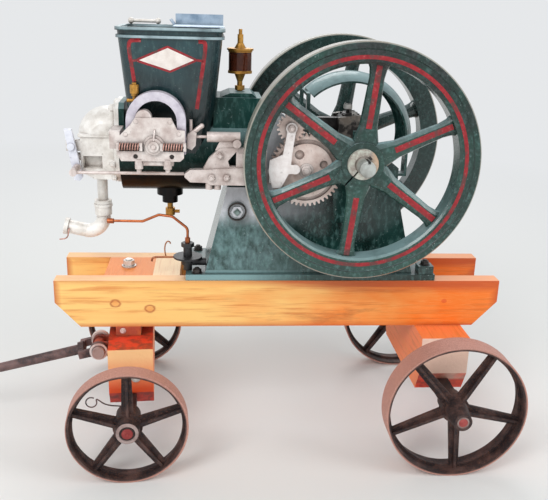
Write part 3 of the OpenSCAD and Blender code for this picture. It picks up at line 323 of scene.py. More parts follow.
# Painted engine castings
# Grey iron, cast rough and brushed with dark green enamel. The enamel is still glossy,
# with dust and a painted pale sheen on its upper faces, painted shade along the joints and a few
# chips to bare iron.
def green_enamel(name, dust_and_sheen=0.35, wear=0.5, rim=None, drip=0.3, darker_below=None, bleach_and_sheen=None, dark=0.0,
                 bead_glints=(), gloss=0.35, shine=0.5, tarnish=None, tone=("#0f2a26", "#1b423d")):
    """Old gloss enamel; dust_and_sheen is dust that dulls upper faces and a painted pale sheen on them, and
    wear is the share of pale rubbed specks.

    Rim holds a wheel's axis, its radius and its bare hub's radius, and drip draws the 9 mm rubbed
    marks out upright. Darker_below gives the heights where black starts and is deepest, and its share
    there, and dark is an even share of black over the whole. Bleach_and_sheen gives the places along
    the engine between which the near side grows palest, partly sun-bleached paint and partly a painted
    sheen, the heights between which it turns grey, and the foot's top, whose pale edge is a painted
    highlight. Bead_glints are heights of rims painted pale as glints of light. Gloss is the weight of the
    clear coat, and shine is the enamel's own specular level, low where old oil has dulled it. Tarnish
    gives the heights between which blackened patches grow, and their share. Tone is its deep and light green.
    """
    made, tree, place = new_material(name)
    x, _, z = (add(tree, "ShaderNodeSeparateXYZ", {0: place}, axis) for axis in range(3))
    normal = add(tree, "ShaderNodeNewGeometry", out="Normal")
    facing = [add(tree, "ShaderNodeSeparateXYZ", {0: normal}, axis) for axis in range(3)]
    cloud = mottle(tree, place, 9, 5)
    sand = mottle(tree, place, 260, 5)
    runs = mottle(tree, place, 110, 7, (1, 1, drip))
    coat = layer(tree, *tone, (cloud, 0.35, 0.65))
    coat = layer(tree, coat, "#67908c", (runs, 0.5, 0.68), wear)
    coat = layer(tree, coat, "#c6d8d6", (mottle(tree, place, 230, 3), 0.66, 0.71), wear)
    # Upper faces turn pale blue-grey and rougher: dust, and a painted sheen of the sky.
    upper_sheen_and_dust = cover(tree, (facing[2], 0.15, 0.85), dust_and_sheen)
    coat = layer(tree, coat, "#93b1b4", upper_sheen_and_dust, (cloud, 0.2, 0.5))
    # A paler near side, partly sun-bleached paint and partly a painted sheen, greying higher up, with a
    # painted highlight along the foot's top edge.
    if bleach_and_sheen:
        left, right, green, grey, foot = bleach_and_sheen
        height = add(tree, "ShaderNodeMath", {0: cloud, 1: 0.08, 2: z}, operation="MULTIPLY_ADD")
        # The cloud adds 0.04 on average.
        high = cover(tree, (height, green + 0.04, grey + 0.04))
        along = add(tree, "ShaderNodeMath", {0: high, 1: -0.04, 2: x}, operation="MULTIPLY_ADD")
        spots = cover(tree, (mottle(tree, place, 55, 10, (1.3, 1, 0.8)), 0.36, 0.66))
        pale = add(tree, "ShaderNodeMath", {0: spots, 1: 0.55, 2: 0.05}, operation="MULTIPLY_ADD")
        greyed = add(tree, "ShaderNodeMath", {0: spots, 1: 0.2, 2: 0.78}, operation="MULTIPLY_ADD")
        for paler in (cover(tree, (z, foot + 0.002, foot - 0.002), 0.9), cover(tree, high, greyed)):
            pale = add(tree, "ShaderNodeMath", {0: pale, 1: paler}, operation="MAXIMUM")
        weathered = layer(tree, "#8ab0b2", "#dfe1e7", high)
        coat = layer(tree, coat, weathered, (along, left, right), (facing[1], -0.3, -0.7), pale)
    # Black laid over the lower part: painted shade on the jacket, and on the hopper darker towards the
    # bottom.
    if darker_below:
        black_below = layer(tree, "#080a09", "#170d08", (runs, 0.4, 0.6))
        coat = layer(tree, coat, black_below, (z, *darker_below[:2]), darker_below[2])
    if dark:
        coat = layer(tree, coat, "#0d1413", dark)
    if tarnish:
        black = layer(tree, "#141716", "#2c2a2d", (runs, 0.4, 0.6))
        patches = (mottle(tree, place, 24, 7), 0.36, 0.6)
        coat = layer(tree, coat, black, (z, *tarnish[:2]), tarnish[2], patches)
    # Painted glints: the beads are painted pale at their heights, as light caught on the rims.
    for bead in bead_glints:
        off = add(tree, "ShaderNodeMath", {0: z, 1: bead}, operation="SUBTRACT")
        off = add(tree, "ShaderNodeMath", {0: off}, operation="ABSOLUTE")
        coat = layer(tree, coat, "#c4dbe2", (off, 0.0034, 0.0018), (cloud, 0.3, 0.6), 0.8)
    # Painted shade: the enamel darkens to near black where ambient occlusion finds joints and corners.
    joint_shade = add(tree, "ShaderNodeAmbientOcclusion", {"Distance": 0.02}, "AO", samples=4)
    coat = layer(tree, coat, "#0a1513", (joint_shade, 0.75, 0.25), 0.8)
    chip = cover(tree, (mottle(tree, place, 70, 8), 0.72, 0.74))
    coat = layer(tree, coat, "#6d6257", chip)
    if rim:
        centre, outer, hub = rim
        reach = away_from(tree, place, centre)
        tread = layer(tree, "#b6b4a8", "#989084", (cloud, 0.35, 0.65))
        tread = layer(tree, tread, "#6f675c", (mottle(tree, place, 700, 2, (0.01, 1, 0.01)), 0.4, 0.7), 0.4)
        coat = layer(tree, coat, tread, (reach, outer - 0.0034, outer - 0.0018), 0.9)
        bare = layer(tree, "#c0c2b6", "#9c9188", (runs, 0.4, 0.6))
        bare = layer(tree, bare, "#c2a488", (cloud, 0.5, 0.62))
        coat = layer(tree, coat, bare, (reach, hub + 0.0008, hub + 0.0002))
    dull = add(tree, "ShaderNodeMath", {0: upper_sheen_and_dust, 1: chip}, operation="MAXIMUM")
    rough = add(tree, "ShaderNodeMapRange", {"Value": dull, "To Min": 0.3 - gloss * 0.2, "To Max": 0.6})
    dress(tree, {"Base Color": coat, "Roughness": rough, "Specular IOR Level": shine, "Coat Weight": gloss,
                 "Coat Roughness": 0.12}, (sand, 0.35), (cloud, 0.9))
    return made


finish(green_enamel("green_enamel_on_base", 0.35, 0.5, drip=0.5, dark=0.1,
                    bleach_and_sheen=(0.43, 0.28, 0.512, 0.546, 0.415)),
       "engine_base", "near_bearing_cap", "far_bearing_cap")
# Painted shade: the jacket turns black below the magneto, where shade falls.
finish(green_enamel("shade_blackened_enamel_on_jacket", 0.5, 0.3, darker_below=(0.685, 0.63, 1.0), gloss=0.05,
                    shine=0.15), "water_jacket")
finish(green_enamel("green_enamel_on_sheet_guard", 0.75, 0.4), "crank_guard")
hopper_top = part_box("hopper")[1][2]
# The hopper's green is bluer, partly a painted reflection of the sky, and it grows darker towards the bottom.
finish(green_enamel("green_enamel_on_hopper", 0.5, 0.16, darker_below=(0.93, 0.76, 0.7), tone=("#132b30", "#24484e"),
                    bead_glints=(hopper_top - 0.0025, hopper_top - 0.019)), "hopper")
crank = Vector((0.52567, 0, 0.6855))
flywheel_rim = (crank, 0.254, 0.0325)
finish(green_enamel("green_enamel_on_flywheel", 0.75, 0.34, flywheel_rim, 1, tarnish=(0.62, 0.84, 0.85),
                    tone=("#12302a", "#21493f")), "near_flywheel")
# Painted shade: the far flywheel is a darker copy of the near one's enamel, for the shade behind the engine.
finish(green_enamel("shade_darkened_enamel_on_far_flywheel", 0.4, 0.3, flywheel_rim, 1, dark=0.45), "far_flywheel")


# Bright and silvered parts
# The head, magneto and small levers are brushed with aluminium paint over rough
# castings: dull silver on the high places, brown grease in patches and painted shade in the corners.
def silvered(name, light="#f7f4ef", shade="#d6d0c8", grease="#6b564a", metal=0.12, oily=None):
    """Dull silver paint or bare white metal, clouded over 30 mm, with grease in patches and painted shade in
    its corners.

    Oily is how far black reaches to each side of the engine's middle: oil, and painted shade between the
    flywheels.
    """
    made, tree, place = new_material(name)
    cloud = mottle(tree, place, 34, 6)
    sand = mottle(tree, place, 380, 4)
    coat = layer(tree, light, shade, (cloud, 0.4, 0.66))
    # Painted shade: corners that ambient occlusion finds are darkened in the grease colour.
    corner = add(tree, "ShaderNodeAmbientOcclusion", {"Distance": 0.012}, "AO", samples=4)
    coat = layer(tree, coat, grease, (corner, 0.85, 0.35), 0.8)
    coat = layer(tree, coat, grease, (mottle(tree, place, 90, 7), 0.62, 0.7), 0.3)
    # Black about the engine's middle: oil on the crank, and painted shade between the flywheels.
    if oily:
        aside = add(tree, "ShaderNodeSeparateXYZ", {0: place}, 1)
        aside = add(tree, "ShaderNodeMath", {0: aside}, operation="ABSOLUTE")
        coat = layer(tree, coat, "#1d1a1c", (aside, oily + 0.004, oily), (cloud, 0.62, 0.5), 0.92)
    dress(tree, {"Base Color": coat, "Metallic": metal, "Roughness": 0.42}, (sand, 0.3), (cloud, 0.5))
    return made


silver_paint = silvered("aluminium_paint_on_castings")
bare_levers = silvered("bare_steel_levers", "#e6dad5", "#bfaea8", "#5a463d", 0.35)
finish(silver_paint, "cylinder_head", "intake_elbow", "hopper_bar")
finish(bare_levers, "trip_rod", "pushrod", "latch_bracket")

# Metals that are less painted show more of their own shine, and oil turns it brown.
for node, name, light, shade, grease, metal in (
        ("magneto_body", "greasy_magneto_casting", "#e9e0db", "#c2b1ab", "#46302a", 0.2),
        ("magnet", "silvered_magnet", "#dcd7e0", "#b9b2c0", "#6e6270", 0.3),
        ("rocker_arm", "blued_white_rocker", "#eef0f9", "#d4d7e4", "#6b6470", 0.12),
        ("detent_arm", "white_painted_detent", "#f6f0ee", "#ddd2ce", "#5a463d", 0.15),
        ("connecting_rod", "oil_blackened_rod", "#54504f", "#2b2827", "#100d0c", 0.5),
        ("king_bolt", "plated_king_bolt", "#eceae6", "#c9c4bd", "#6a5a4c", 0.4),
        ("fuel_valve", "black_valve_iron", "#3a3a3c", "#242426", "#15100d", 0.4),
        ("splash_sheet", "galvanised_sheet", "#aebfcf", "#8297ab", "#5f6a70", 0.5),
        ("fuel_line", "dull_copper_tube", "#c4744a", "#944f30", "#55301d", 0.8)):
    finish(silvered(name, light, shade, grease, metal), node)
finish(silvered("cut_steel_gears", "#f2e0d8", "#d3b8ad", "#3a2822", 0.3), "cam_gear", "governor_wheel")
finish(silvered("oiled_crank_steel", "#c4bcb4", "#8d8177", "#2d2620", 0.6, 0.07), "crankshaft")
finish(silvered("dull_brass", "#c9974a", "#99682c", "#4d3217", 0.8),
       "drain_cock", "priming_cup", "drip_oiler")

# The oiler's glass is clear and smooth, and the brown oil in it darkens what shows through.
sight_glass, tree, place = new_material("oil_filled_sight_glass")
oil = layer(tree, "#5a2a1c", "#7b3f27", (mottle(tree, place, 60, 3), 0.3, 0.7))
dress(tree, {"Base Color": oil, "Roughness": 0.06, "Transmission Weight": 0.55, "IOR": 1.5})
finish(sight_glass, "oiler_glass")


# Painted lines
# Hand-painted red lines on the hopper and both flywheels, brushed over the green, so
# they lie a hair above it and vary a little in width and strength.
red_paint, tree, place = new_material("hand_painted_red_enamel")
brush = mottle(tree, place, 120, 5)
red = layer(tree, "#82141e", "#a8262e", (brush, 0.35, 0.7))
red = layer(tree, red, "#3c3a36", (mottle(tree, place, 30, 8), 0.52, 0.6), 0.72)
red = layer(tree, red, "#c8827e", (mottle(tree, place, 160, 4), 0.6, 0.7), 0.5)
dress(tree, {"Base Color": red, "Roughness": 0.35}, (brush, 0.2))


def piece(name, shape, finish_of, body):
    """Makes a shape into a piece that rides on a body; the shape is a bmesh or a mesh."""
    mesh = shape
    if isinstance(shape, bmesh.types.BMesh):
        mesh = bpy.data.meshes.new(name)
        shape.to_mesh(mesh)
        shape.free()
    mesh.materials.clear()
    mesh.materials.append(finish_of)
    made = bpy.data.objects.new(name, mesh)
    bpy.context.collection.objects.link(made)
    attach(made, body)


def skin_of(name):
    """Gives a tree that finds where a ray meets a CAD node's surface."""
    mesh = castings[name].data
    return BVHTree.FromPolygons([v.co for v in mesh.vertices], [tuple(p.vertices) for p in mesh.polygons])


def rounded(points):
    """Softens the corners of a run of points by cutting them twice."""
    for _ in range(2):
        cut = [q for a, b in zip(points, points[1:]) for q in (a.lerp(b, 0.25), a.lerp(b, 0.75))]
        points = [points[0]] + cut + [points[-1]]
    return points


def painted_band(name, body, surface, points, width, toward, closed=False, finish_of=red_paint):
    """Lays a flat band of paint on a surface along points; toward is the way the brush faced."""
    toward = Vector(toward)
    step, coat, brush_back = 0.004, 0.0003, 0.3
    if closed:
        points = points + [points[0]]
    fine = []
    for a, b in zip(points, points[1:]):
        steps = max(1, round((b - a).length / step))
        fine += [a.lerp(b, i / steps) for i in range(steps)]
    if not closed:
        fine.append(points[-1])
    shape = bmesh.new()
    rows = []
    last = len(fine) - 1
    for i, here in enumerate(fine):
        if closed:
            along = fine[(i + 1) % len(fine)] - fine[i - 1]
        else:
            along = fine[min(i + 1, last)] - fine[max(i - 1, 0)]
        across = along.cross(toward).normalized() * width / 2
        row = []
        for t in (-1, 0, 1):
            hit = surface.ray_cast(here + across * t - toward * brush_back, toward, 2 * brush_back)[0]
            if hit is None:
                break
            row.append(shape.verts.new(hit - toward * coat))
        rows.append(row if len(row) == 3 else None)
    for a, b in zip(rows, rows[1:] + (rows[:1] if closed else [])):
        if a and b:
            for k in (0, 1):
                shape.faces.new((a[k], a[k + 1], b[k + 1], b[k]))
    shape.normal_update()
    for face in shape.faces:
        if face.normal.dot(toward) > 0:
            face.normal_flip()
    piece(name, shape, finish_of, body)


def beside_crank(x, z, y=0.0):
    """Turns millimetres seen from the crankshaft's axis into a place on the engine."""
    return crank + Vector((x, y, z)) / 1000


hopper_skin = skin_of("hopper")
away_from_us = Vector((0, 1, 0))
right_line = ((-352, 98), (-346, 139), (-336.6, 202), (-333, 232), (-336, 239), (-348, 239))
left_line = ((-466, 239), (-480, 239), (-489.5, 237), (-492, 224), (-488.6, 198), (-482.7, 154))
lozenge = [beside_crank(*p) for p in ((-411.8, 227), (-351.8, 201.2), (-407.6, 176.4), (-477.8, 198.1))]
for side, points in (("right", right_line), ("left", left_line)):
    painted_band(f"hopper_line_{side}", "root", hopper_skin, rounded([beside_crank(*p) for p in points]),
                 0.0082, away_from_us)
painted_band("hopper_lozenge_edge", "root", hopper_skin, lozenge, 0.0045, away_from_us, closed=True)
for side, tie in (("left", (beside_crank(-487, 197), lozenge[3])),
                  ("right", (lozenge[1], beside_crank(-338, 199.6)))):
    painted_band(f"hopper_tie_{side}", "root", hopper_skin, tie, 0.005, away_from_us)

# The white lozenge inside the red edge is bare: the lettering it would carry is left off.
white_paint, tree, place = new_material("hand_painted_white_enamel")
white = layer(tree, "#f1e9e2", "#ded3cb", (mottle(tree, place, 60, 5), 0.35, 0.7))
dress(tree, {"Base Color": white, "Roughness": 0.4})


def join_rings(shape, first, second):
    """Closes the strip between two rings of as many points."""
    for i in range(len(first)):
        k = (i + 1) % len(first)
        shape.faces.new((first[i], first[k], second[k], second[i]))


panel = bmesh.new()
tips = lozenge[3:] + lozenge[:3]
centre = sum(tips, Vector()) / 4
edge = [a.lerp(b, i / 12) for a, b in zip(tips, tips[1:] + tips[:1]) for i in range(12)]
coat, brush_back = 0.0002, 0.3
rings = []
for share in (1.0, 0.66, 0.33):
    starts = [centre.lerp(point, share) - away_from_us * brush_back for point in edge]
    hits = [hopper_skin.ray_cast(start, away_from_us, 2 * brush_back)[0] for start in starts]
    rings.append([panel.verts.new(hit - away_from_us * coat) for hit in hits])
for outer, inner in zip(rings, rings[1:]):
    join_rings(panel, outer, inner)
panel.faces.new(rings[-1])
for face in panel.faces:
    face.normal_update()
    if face.normal.y > 0:
        face.normal_flip()
piece("hopper_lozenge", panel, white_paint, "root")

# Flywheel lines: a ring just outside the spokes' ends and one line down each spoke, and
# a thin dark band of painted shade laid in the turned groove beside the rim's bead.
shade_paint_for_groove, tree, place = new_material("painted_shade_in_groove")
groove_tone = layer(tree, "#10201d", "#26403a", (mottle(tree, place, 90, 5), 0.4, 0.62))
dress(tree, {"Base Color": groove_tone, "Roughness": 0.5})


def round_crank(radius):
    """Gives a ring of places about the crankshaft's axis."""
    angles = [math.tau * i / 240 for i in range(240)]
    return [beside_crank(radius * math.cos(a), radius * math.sin(a)) for a in angles]


for side, sign, first_spoke in (("near", -1, 23.6), ("far", 1, 21.0)):
    skin = skin_of(f"{side}_flywheel")
    toward = (0, -sign, 0)
    painted_band(f"{side}_flywheel_ring_line", "crank", skin, round_crank(222), 0.0085, toward, closed=True)
    painted_band(f"{side}_flywheel_groove_shade", "crank", skin, round_crank(238.2), 0.0022, toward,
                 closed=True, finish_of=shade_paint_for_groove)
    for n in range(6):
        a = math.radians(first_spoke + 60 * n)
        way = Vector((math.cos(a), 0, math.sin(a)))
        painted_band(f"{side}_spoke_line_{n + 1}", "crank", skin, [crank + way * 0.075, crank + way * 0.206],
                     0.0125, toward)


# Nuts and bolt heads
# Square and hexagon heads, forged and left black or painted over with what they hold.
# One Geometry Nodes tree stands a washer, a head and a rounded bolt end on each point.
def new_maker(name, start, *sizes):
    """Starts a Geometry Nodes tree with one input for what it starts from and one for each size."""
    tree = bpy.data.node_groups.new(name, "GeometryNodeTree")
    given = [(start, "Geometry"), *sizes, ("Finish", "Material")]
    for label, kind in given:
        tree.interface.new_socket(label, in_out="INPUT", socket_type=f"NodeSocket{kind}")
    tree.interface.new_socket("Made", in_out="OUTPUT", socket_type="NodeSocketGeometry")
    return tree, tree.nodes.new("NodeGroupInput").outputs


def hand_over(tree, parts, given):
    """Ends such a tree: makes the parts real and gives them their finish."""
    real = add(tree, "GeometryNodeRealizeInstances", {0: parts})
    done = add(tree, "GeometryNodeSetMaterial", {"Geometry": real, "Material": given["Finish"]})
    add(tree, "NodeGroupOutput", {0: done})


nuts_on_points, given = new_maker("nuts_on_points", "Points", ("Sides", "Int"), ("Corner radius", "Float"),
                                  ("Height", "Float"), ("Washer radius", "Float"), ("Bolt radius", "Float"),
                                  ("Facing", "Vector"))
tree = nuts_on_points
sides, corner, height = (given[label] for label in ("Sides", "Corner radius", "Height"))
half = add(tree, "ShaderNodeMath", {0: height, 1: 0.5}, operation="MULTIPLY")
lift = add(tree, "ShaderNodeCombineXYZ", {2: half})
head = add(tree, "GeometryNodeMeshCylinder", {"Vertices": sides, "Radius": corner, "Depth": height})
head = add(tree, "GeometryNodeTransform", {"Geometry": head, "Translation": lift})
narrow = add(tree, "ShaderNodeMath", {0: corner, 1: 0.84}, operation="MULTIPLY")
crown = add(tree, "GeometryNodeMeshCone",
            {"Vertices": sides, "Radius Bottom": corner, "Radius Top": narrow, "Depth": 0.0012})
on_head = add(tree, "ShaderNodeCombineXYZ", {2: height})
crown = add(tree, "GeometryNodeTransform", {"Geometry": crown, "Translation": on_head})
washer = add(tree, "GeometryNodeMeshCylinder",
             {"Vertices": 20, "Radius": given["Washer radius"], "Depth": 0.002})
through = add(tree, "ShaderNodeMath", {0: height, 1: 0.008}, operation="ADD")
end = add(tree, "GeometryNodeMeshCylinder",
          {"Vertices": 12, "Radius": given["Bolt radius"], "Depth": through})
end = add(tree, "GeometryNodeTransform", {"Geometry": end, "Translation": lift})
whole = add(tree, "GeometryNodeJoinGeometry")
for part in (head, crown, washer, end):
    tree.links.new(part, whole.node.inputs[0])
turn = add(tree, "FunctionNodeAlignEulerToVector", {"Vector": given["Facing"]}, axis="Z")
hand_over(tree, add(tree, "GeometryNodeInstanceOnPoints",
                    {"Points": given["Points"], "Instance": whole, "Rotation": turn}), given)


def settle(name, start, maker, inputs, body):
    """Runs a Geometry Nodes tree on a mesh once and keeps the result as a piece with a plain mesh."""
    made = bpy.data.objects.new(name, start)
    bpy.context.collection.objects.link(made)
    modifier = made.modifiers.new("maker", "NODES")
    modifier.node_group = maker
    for socket in maker.interface.items_tree:
        if socket.in_out == "INPUT" and socket.name in inputs:
            modifier[socket.identifier] = inputs[socket.name]
    bpy.context.view_layer.update()
    result = made.evaluated_get(bpy.context.evaluated_depsgraph_get())
    plain = bpy.data.meshes.new_from_object(result)
    made.modifiers.clear()
    made.data = plain
    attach(made, body)


def nuts(name, places, facing, corner, height, finish_of, body="root", sides=6,
         washer=None):
    """Stands nuts of one size, in millimetres, at places given in metres."""
    points = bpy.data.meshes.new(name)
    points.from_pydata([tuple(p) for p in places], [], [])
    settle(name, points, nuts_on_points, {
        "Sides": sides, "Corner radius": corner / 1000, "Height": height / 1000,
        "Washer radius": (washer or corner * 1.25) / 1000, "Bolt radius": corner * 0.48 / 1000,
        "Facing": facing, "Finish": finish_of}, body)


oily_iron = silvered("oily_black_iron", "#4a4542", "#2f2b2a", "#171311", 0.5)
sill_top = -291.5
for end, x, foot, half_gap in (("front", -352, 14, 86), ("rear", 183, 34, 83)):
    nuts(f"foot_nuts_{end}", [beside_crank(x, sill_top + foot, y) for y in (-half_gap, half_gap)],
         (0, 0, 1), 10, 9, oily_iron)
studs = [(79 * math.cos(a), 79 * math.sin(a)) for a in (math.radians(d) for d in (200, 232, 308, 340))]
studs += [(-55, 92), (55, 92), (-66, 40), (66, 40)]
nuts("head_nuts", [beside_crank(-533, z, y * 0.96) for y, z in studs], (-1, 0, 0), 8.5, 8, silver_paint)


# Magneto fittings
# Two coil springs on guides snap the armature back. Four flat screws hold the front plate,
# two hold the magneto down, and a bent pointer hangs from the cap's button.
near_side = (0, -1, 0)
spring_steel = silvered("oiled_spring_steel", "#d2a397", "#a47a6e", "#33211b", 0.4)
coil_spring, given = new_maker("coil_spring", "Nothing", ("Coils", "Float"), ("Coil radius", "Float"),
                               ("Length", "Float"), ("Wire radius", "Float"), ("Place", "Vector"))
tree = coil_spring
turns = add(tree, "GeometryNodeCurveSpiral", {
    "Resolution": 16, "Rotations": given["Coils"], "Start Radius": given["Coil radius"],
    "End Radius": given["Coil radius"], "Height": given["Length"]})
round_wire = add(tree, "GeometryNodeCurvePrimitiveCircle", {"Resolution": 8, "Radius": given["Wire radius"]})
coil = add(tree, "GeometryNodeCurveToMesh", {"Curve": turns, "Profile Curve": round_wire, "Fill Caps": True})
hand_over(tree, add(tree, "GeometryNodeTransform", {
    "Geometry": coil, "Translation": given["Place"], "Rotation": (0, math.pi / 2, 0)}), given)


def turned(name, profile, start, way, finish_of, body="root", sides=28):
    """Turns a profile of (distance along, radius) in millimetres about an axis from start."""
    way = Vector(way).normalized()
    side = way.orthogonal().normalized()
    other = way.cross(side)
    angles = [math.tau * i / sides for i in range(sides)]
    shape = bmesh.new()
    rings = []
    for reach, radius in profile:
        middle = start + way * reach / 1000
        if radius == 0:
            rings.append([shape.verts.new(middle)])
        else:
            rings.append([shape.verts.new(middle + (side * math.cos(a) + other * math.sin(a)) * radius / 1000)
                          for a in angles])
    for low, high in zip(rings, rings[1:]):
        for i in range(sides):
            k = (i + 1) % sides
            corners = (low[i % len(low)], low[k % len(low)], high[k % len(high)], high[i % len(high)])
            corners = list(dict.fromkeys(corners))
            if len(corners) > 2:
                shape.faces.new(corners)
    bmesh.ops.recalc_face_normals(shape, faces=shape.faces)
    mesh = bpy.data.meshes.new(name)
    shape.to_mesh(mesh)
    shape.free()
    for face in mesh.polygons:
        face.use_smooth = True
    mesh.set_sharp_from_angle(angle=math.radians(35))
    piece(name, mesh, finish_of, body)


def wire_run(name, points, radius, finish_of, body="root"):
    """Runs a round wire through points, softening its corners, and closes its ends."""
    curve = bpy.data.curves.new(name, "CURVE")
    curve.dimensions = "3D"
    curve.bevel_depth = radius / 1000
    curve.bevel_resolution = 3
    curve.use_fill_caps = True
    line = curve.splines.new("POLY")
    path = rounded(points)
    line.points.add(len(path) - 1)
    for spot, here in zip(line.points, path):
        spot.co = (*here, 1)
    holder = bpy.data.objects.new(name + "_curve", curve)
    bpy.context.collection.objects.link(holder)
    bpy.context.view_layer.update()
    mesh = bpy.data.meshes.new_from_object(holder.evaluated_get(bpy.context.evaluated_depsgraph_get()))
    bpy.data.objects.remove(holder)
    for face in mesh.polygons:
        face.use_smooth = True
    piece(name, mesh, finish_of, body)


spring_y, spring_z, spring_length = -165, 28, 43
for side, x in (("left", -511), ("right", -421)):
    settle(f"magneto_spring_{side}", bpy.data.meshes.new("nothing"), coil_spring, {
        "Coils": 8.0, "Coil radius": 0.0066, "Length": spring_length / 1000, "Wire radius": 0.0015,
        "Place": beside_crank(x, spring_z, spring_y), "Finish": spring_steel}, "root")
for n, x in enumerate((-511, -421)):
    turned(f"magneto_spring_guide_{n + 1}", [(0, 0), (0, 5.4), (spring_length, 5.4), (spring_length, 0)],
           beside_crank(x, spring_z, spring_y), (1, 0, 0), oily_iron, sides=16)
flat_screw = [(0, 0), (0, 4.2), (1.4, 4.2), (2.0, 3.4), (2.0, 0)]
for n, (x, z) in enumerate(((-498, 52), (-388, 54), (-476, 79), (-406, 79))):
    turned(f"magneto_screw_{n + 1}", flat_screw, beside_crank(x, z, -158), near_side, bare_levers, sides=16)
turned("magneto_cap_button", [(0, 0), (0, 5), (3, 5), (4.5, 3.5), (5, 0)], beside_crank(-440, 29, -173.8),
       near_side, bare_levers)
wire_run("magneto_pointer",
         [beside_crank(-440, 40, -169.5), beside_crank(-438, 62, -163.5), beside_crank(-438, 63, -158)],
         1.6, bare_levers)
for n, x in enumerate((-478, -403)):
    turned(f"magneto_hold_down_{n + 1}", [(0, 0), (0, 3.6), (2, 3.6), (2.6, 0)], beside_crank(x, 7, -158.6),
           near_side, oily_iron, sides=16)

# Air intake
# A choke flap on a cross pin in the intake's mouth, with a bent wire lever below it.
slope = math.radians(-12)
hinge = beside_crank(-661, -190.9) + Vector((math.cos(slope), 0, math.sin(slope))) * 0.012
turned("choke_flap", [(0, 0), (0, 12.4), (1.6, 12.4), (1.6, 0)], hinge, (0.8, 0.0, -0.6), spring_steel)
wire_run("choke_pin", [hinge + Vector((0, y, 0)) for y in (-0.021, 0.021)], 1.7, spring_steel)
bends = ((0, -0.0205, 0), (0, -0.024, -0.004), (-0.004, -0.024, -0.022), (-0.022, -0.024, -0.024))
wire_run("choke_lever", [hinge + Vector(p) for p in bends], 1.5, spring_steel)

# Cylinder base plug
# An open black ring on the crankcase's near side, with a pale square head in its middle.
plug = beside_crank(-262, -130, -89)
turned("base_plug_ring", [(0, 21.5), (3, 21.5), (4.4, 20.4), (4.4, 18.4), (0, 17.4)], plug, near_side,
       oily_iron)
greasy_plug = silvered("greasy_plug_iron", "#a9bab6", "#6d807c", "#1c2422", 0.4)
nuts("base_plug_square", [plug], near_side, 9, 7, greasy_plug, sides=4, washer=11)

# Fuel valve handles
# Bent copper wires left of the valve: a cross bar through its body and a hooked lever.
copper_wire = silvered("tarnished_copper_wire", "#b87a55", "#8a4d33", "#3c2018", 0.75)
for name, thick, bends in (
        ("bar", 2.4, ((-384, -247.7), (-424, -247.6), (-450, -247.7), (-456, -251), (-457, -258))),
        ("hook", 1.6, ((-424, -247), (-427, -232), (-426, -218), (-421, -209), (-415, -210),
                       (-413.5, -215)))):
    wire_run(f"fuel_valve_{name}", [beside_crank(x, z, -62) for x, z in bends], thick, copper_wire)

# Valve gear fittings
# A nut and washer on each gear's stud, and the bolts that hold the latch bracket.
# Each has its place, its corner radius, height and washer radius, and how many sides it has.
heads = [("cam_stud_nut", -114.23, -25.32, -131.6, 12, 3.2, 16, 6),
         ("governor_stud_nut", -151.15, 68.42, -147.8, 8, 4, 9, 6),
         ("latch_bolt_1", -320, -43, -131, 7.5, 6, 9, 6),
         ("latch_bolt_2", -287, -43, -131, 7.5, 6, 9, 6),
         ("latch_bolt_3", -240, -41, -131, 7.5, 6, 9, 6),
         ("latch_bolt_4", -302, 4, -126, 7.5, 6, 9, 4)]
for name, x, z, y, corner, height, washer, sides in heads:
    nuts(name, [beside_crank(x, z, y)], near_side, corner, height, bare_levers,
         sides=sides, washer=washer)

# Rod cap nuts and grease cup
# Bright nuts and the screwed cap of a grease cup stand out on the oil-blackened big end.
rod_end = Vector(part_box("connecting_rod")[1])
pin = Vector((rod_end.x - 0.026, 0, rod_end.z - 0.046))
nuts("rod_cap_nuts", [pin + Vector((0.0077, y, z)) for y in (-0.013, 0.013) for z in (-0.021, 0.021)],
     (1, 0, 0), 8.2, 9.7, silver_paint, "connecting_rod", washer=9.5)
turned("rod_grease_cup", [(0, 9.2), (1, 10.2), (8, 10.2), (11.5, 9), (12.6, 6), (12.6, 0)],
       pin + Vector((0, 0, 0.0335)), (0, 0, 1), silver_paint, "connecting_rod")

# Shaft end
# The crankshaft runs on past the near hub, turned smooth and slotted for a pulley's key.
shaft_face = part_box("crankshaft")[0][1] * 1000
shaft_radius = 17
keyway = [(16.6, -3.3), (11.8, -3.3), (11.8, 3.3), (16.6, 3.3)]
around = [math.radians(11.5 + 337 * i / 47) for i in range(48)]
outline = keyway + [(shaft_radius * math.cos(a), shaft_radius * math.sin(a)) for a in around]
turned_up = Matrix.Rotation(-math.radians(84), 3, "Y")
stub = bmesh.new()
rings = []
for reach, inset in ((shaft_face, 1), (shaft_face - 36, 1), (shaft_face - 37.2, 0.93)):
    places = [turned_up @ Vector((x * inset, reach, z * inset)) for x, z in outline]
    rings.append([stub.verts.new(crank + place / 1000) for place in places])
for back, front in zip(rings, rings[1:]):
    join_rings(stub, back, front)
stub.faces.new(rings[0])
stub.faces.new(rings[-1])
bmesh.ops.recalc_face_normals(stub, faces=stub.faces)
piece("near_shaft_end", stub, silvered("turned_shaft_end", "#c2c6c2", "#94948e", "#3a3a38", 0.6), "crank")

# Shaft key
# A square steel key stands a little out of the near flywheel's hub beside the shaft.
key = bmesh.new()
stands = Matrix.Translation(beside_crank(12, 14.2, -189)) @ Matrix.Rotation(math.radians(-40), 4, "Y")
size = Matrix.Diagonal((0.008, 0.0085, 0.0065, 1))
bmesh.ops.create_cube(key, size=1, matrix=stands @ size)
piece("near_shaft_key", key, oily_iron, "crank")

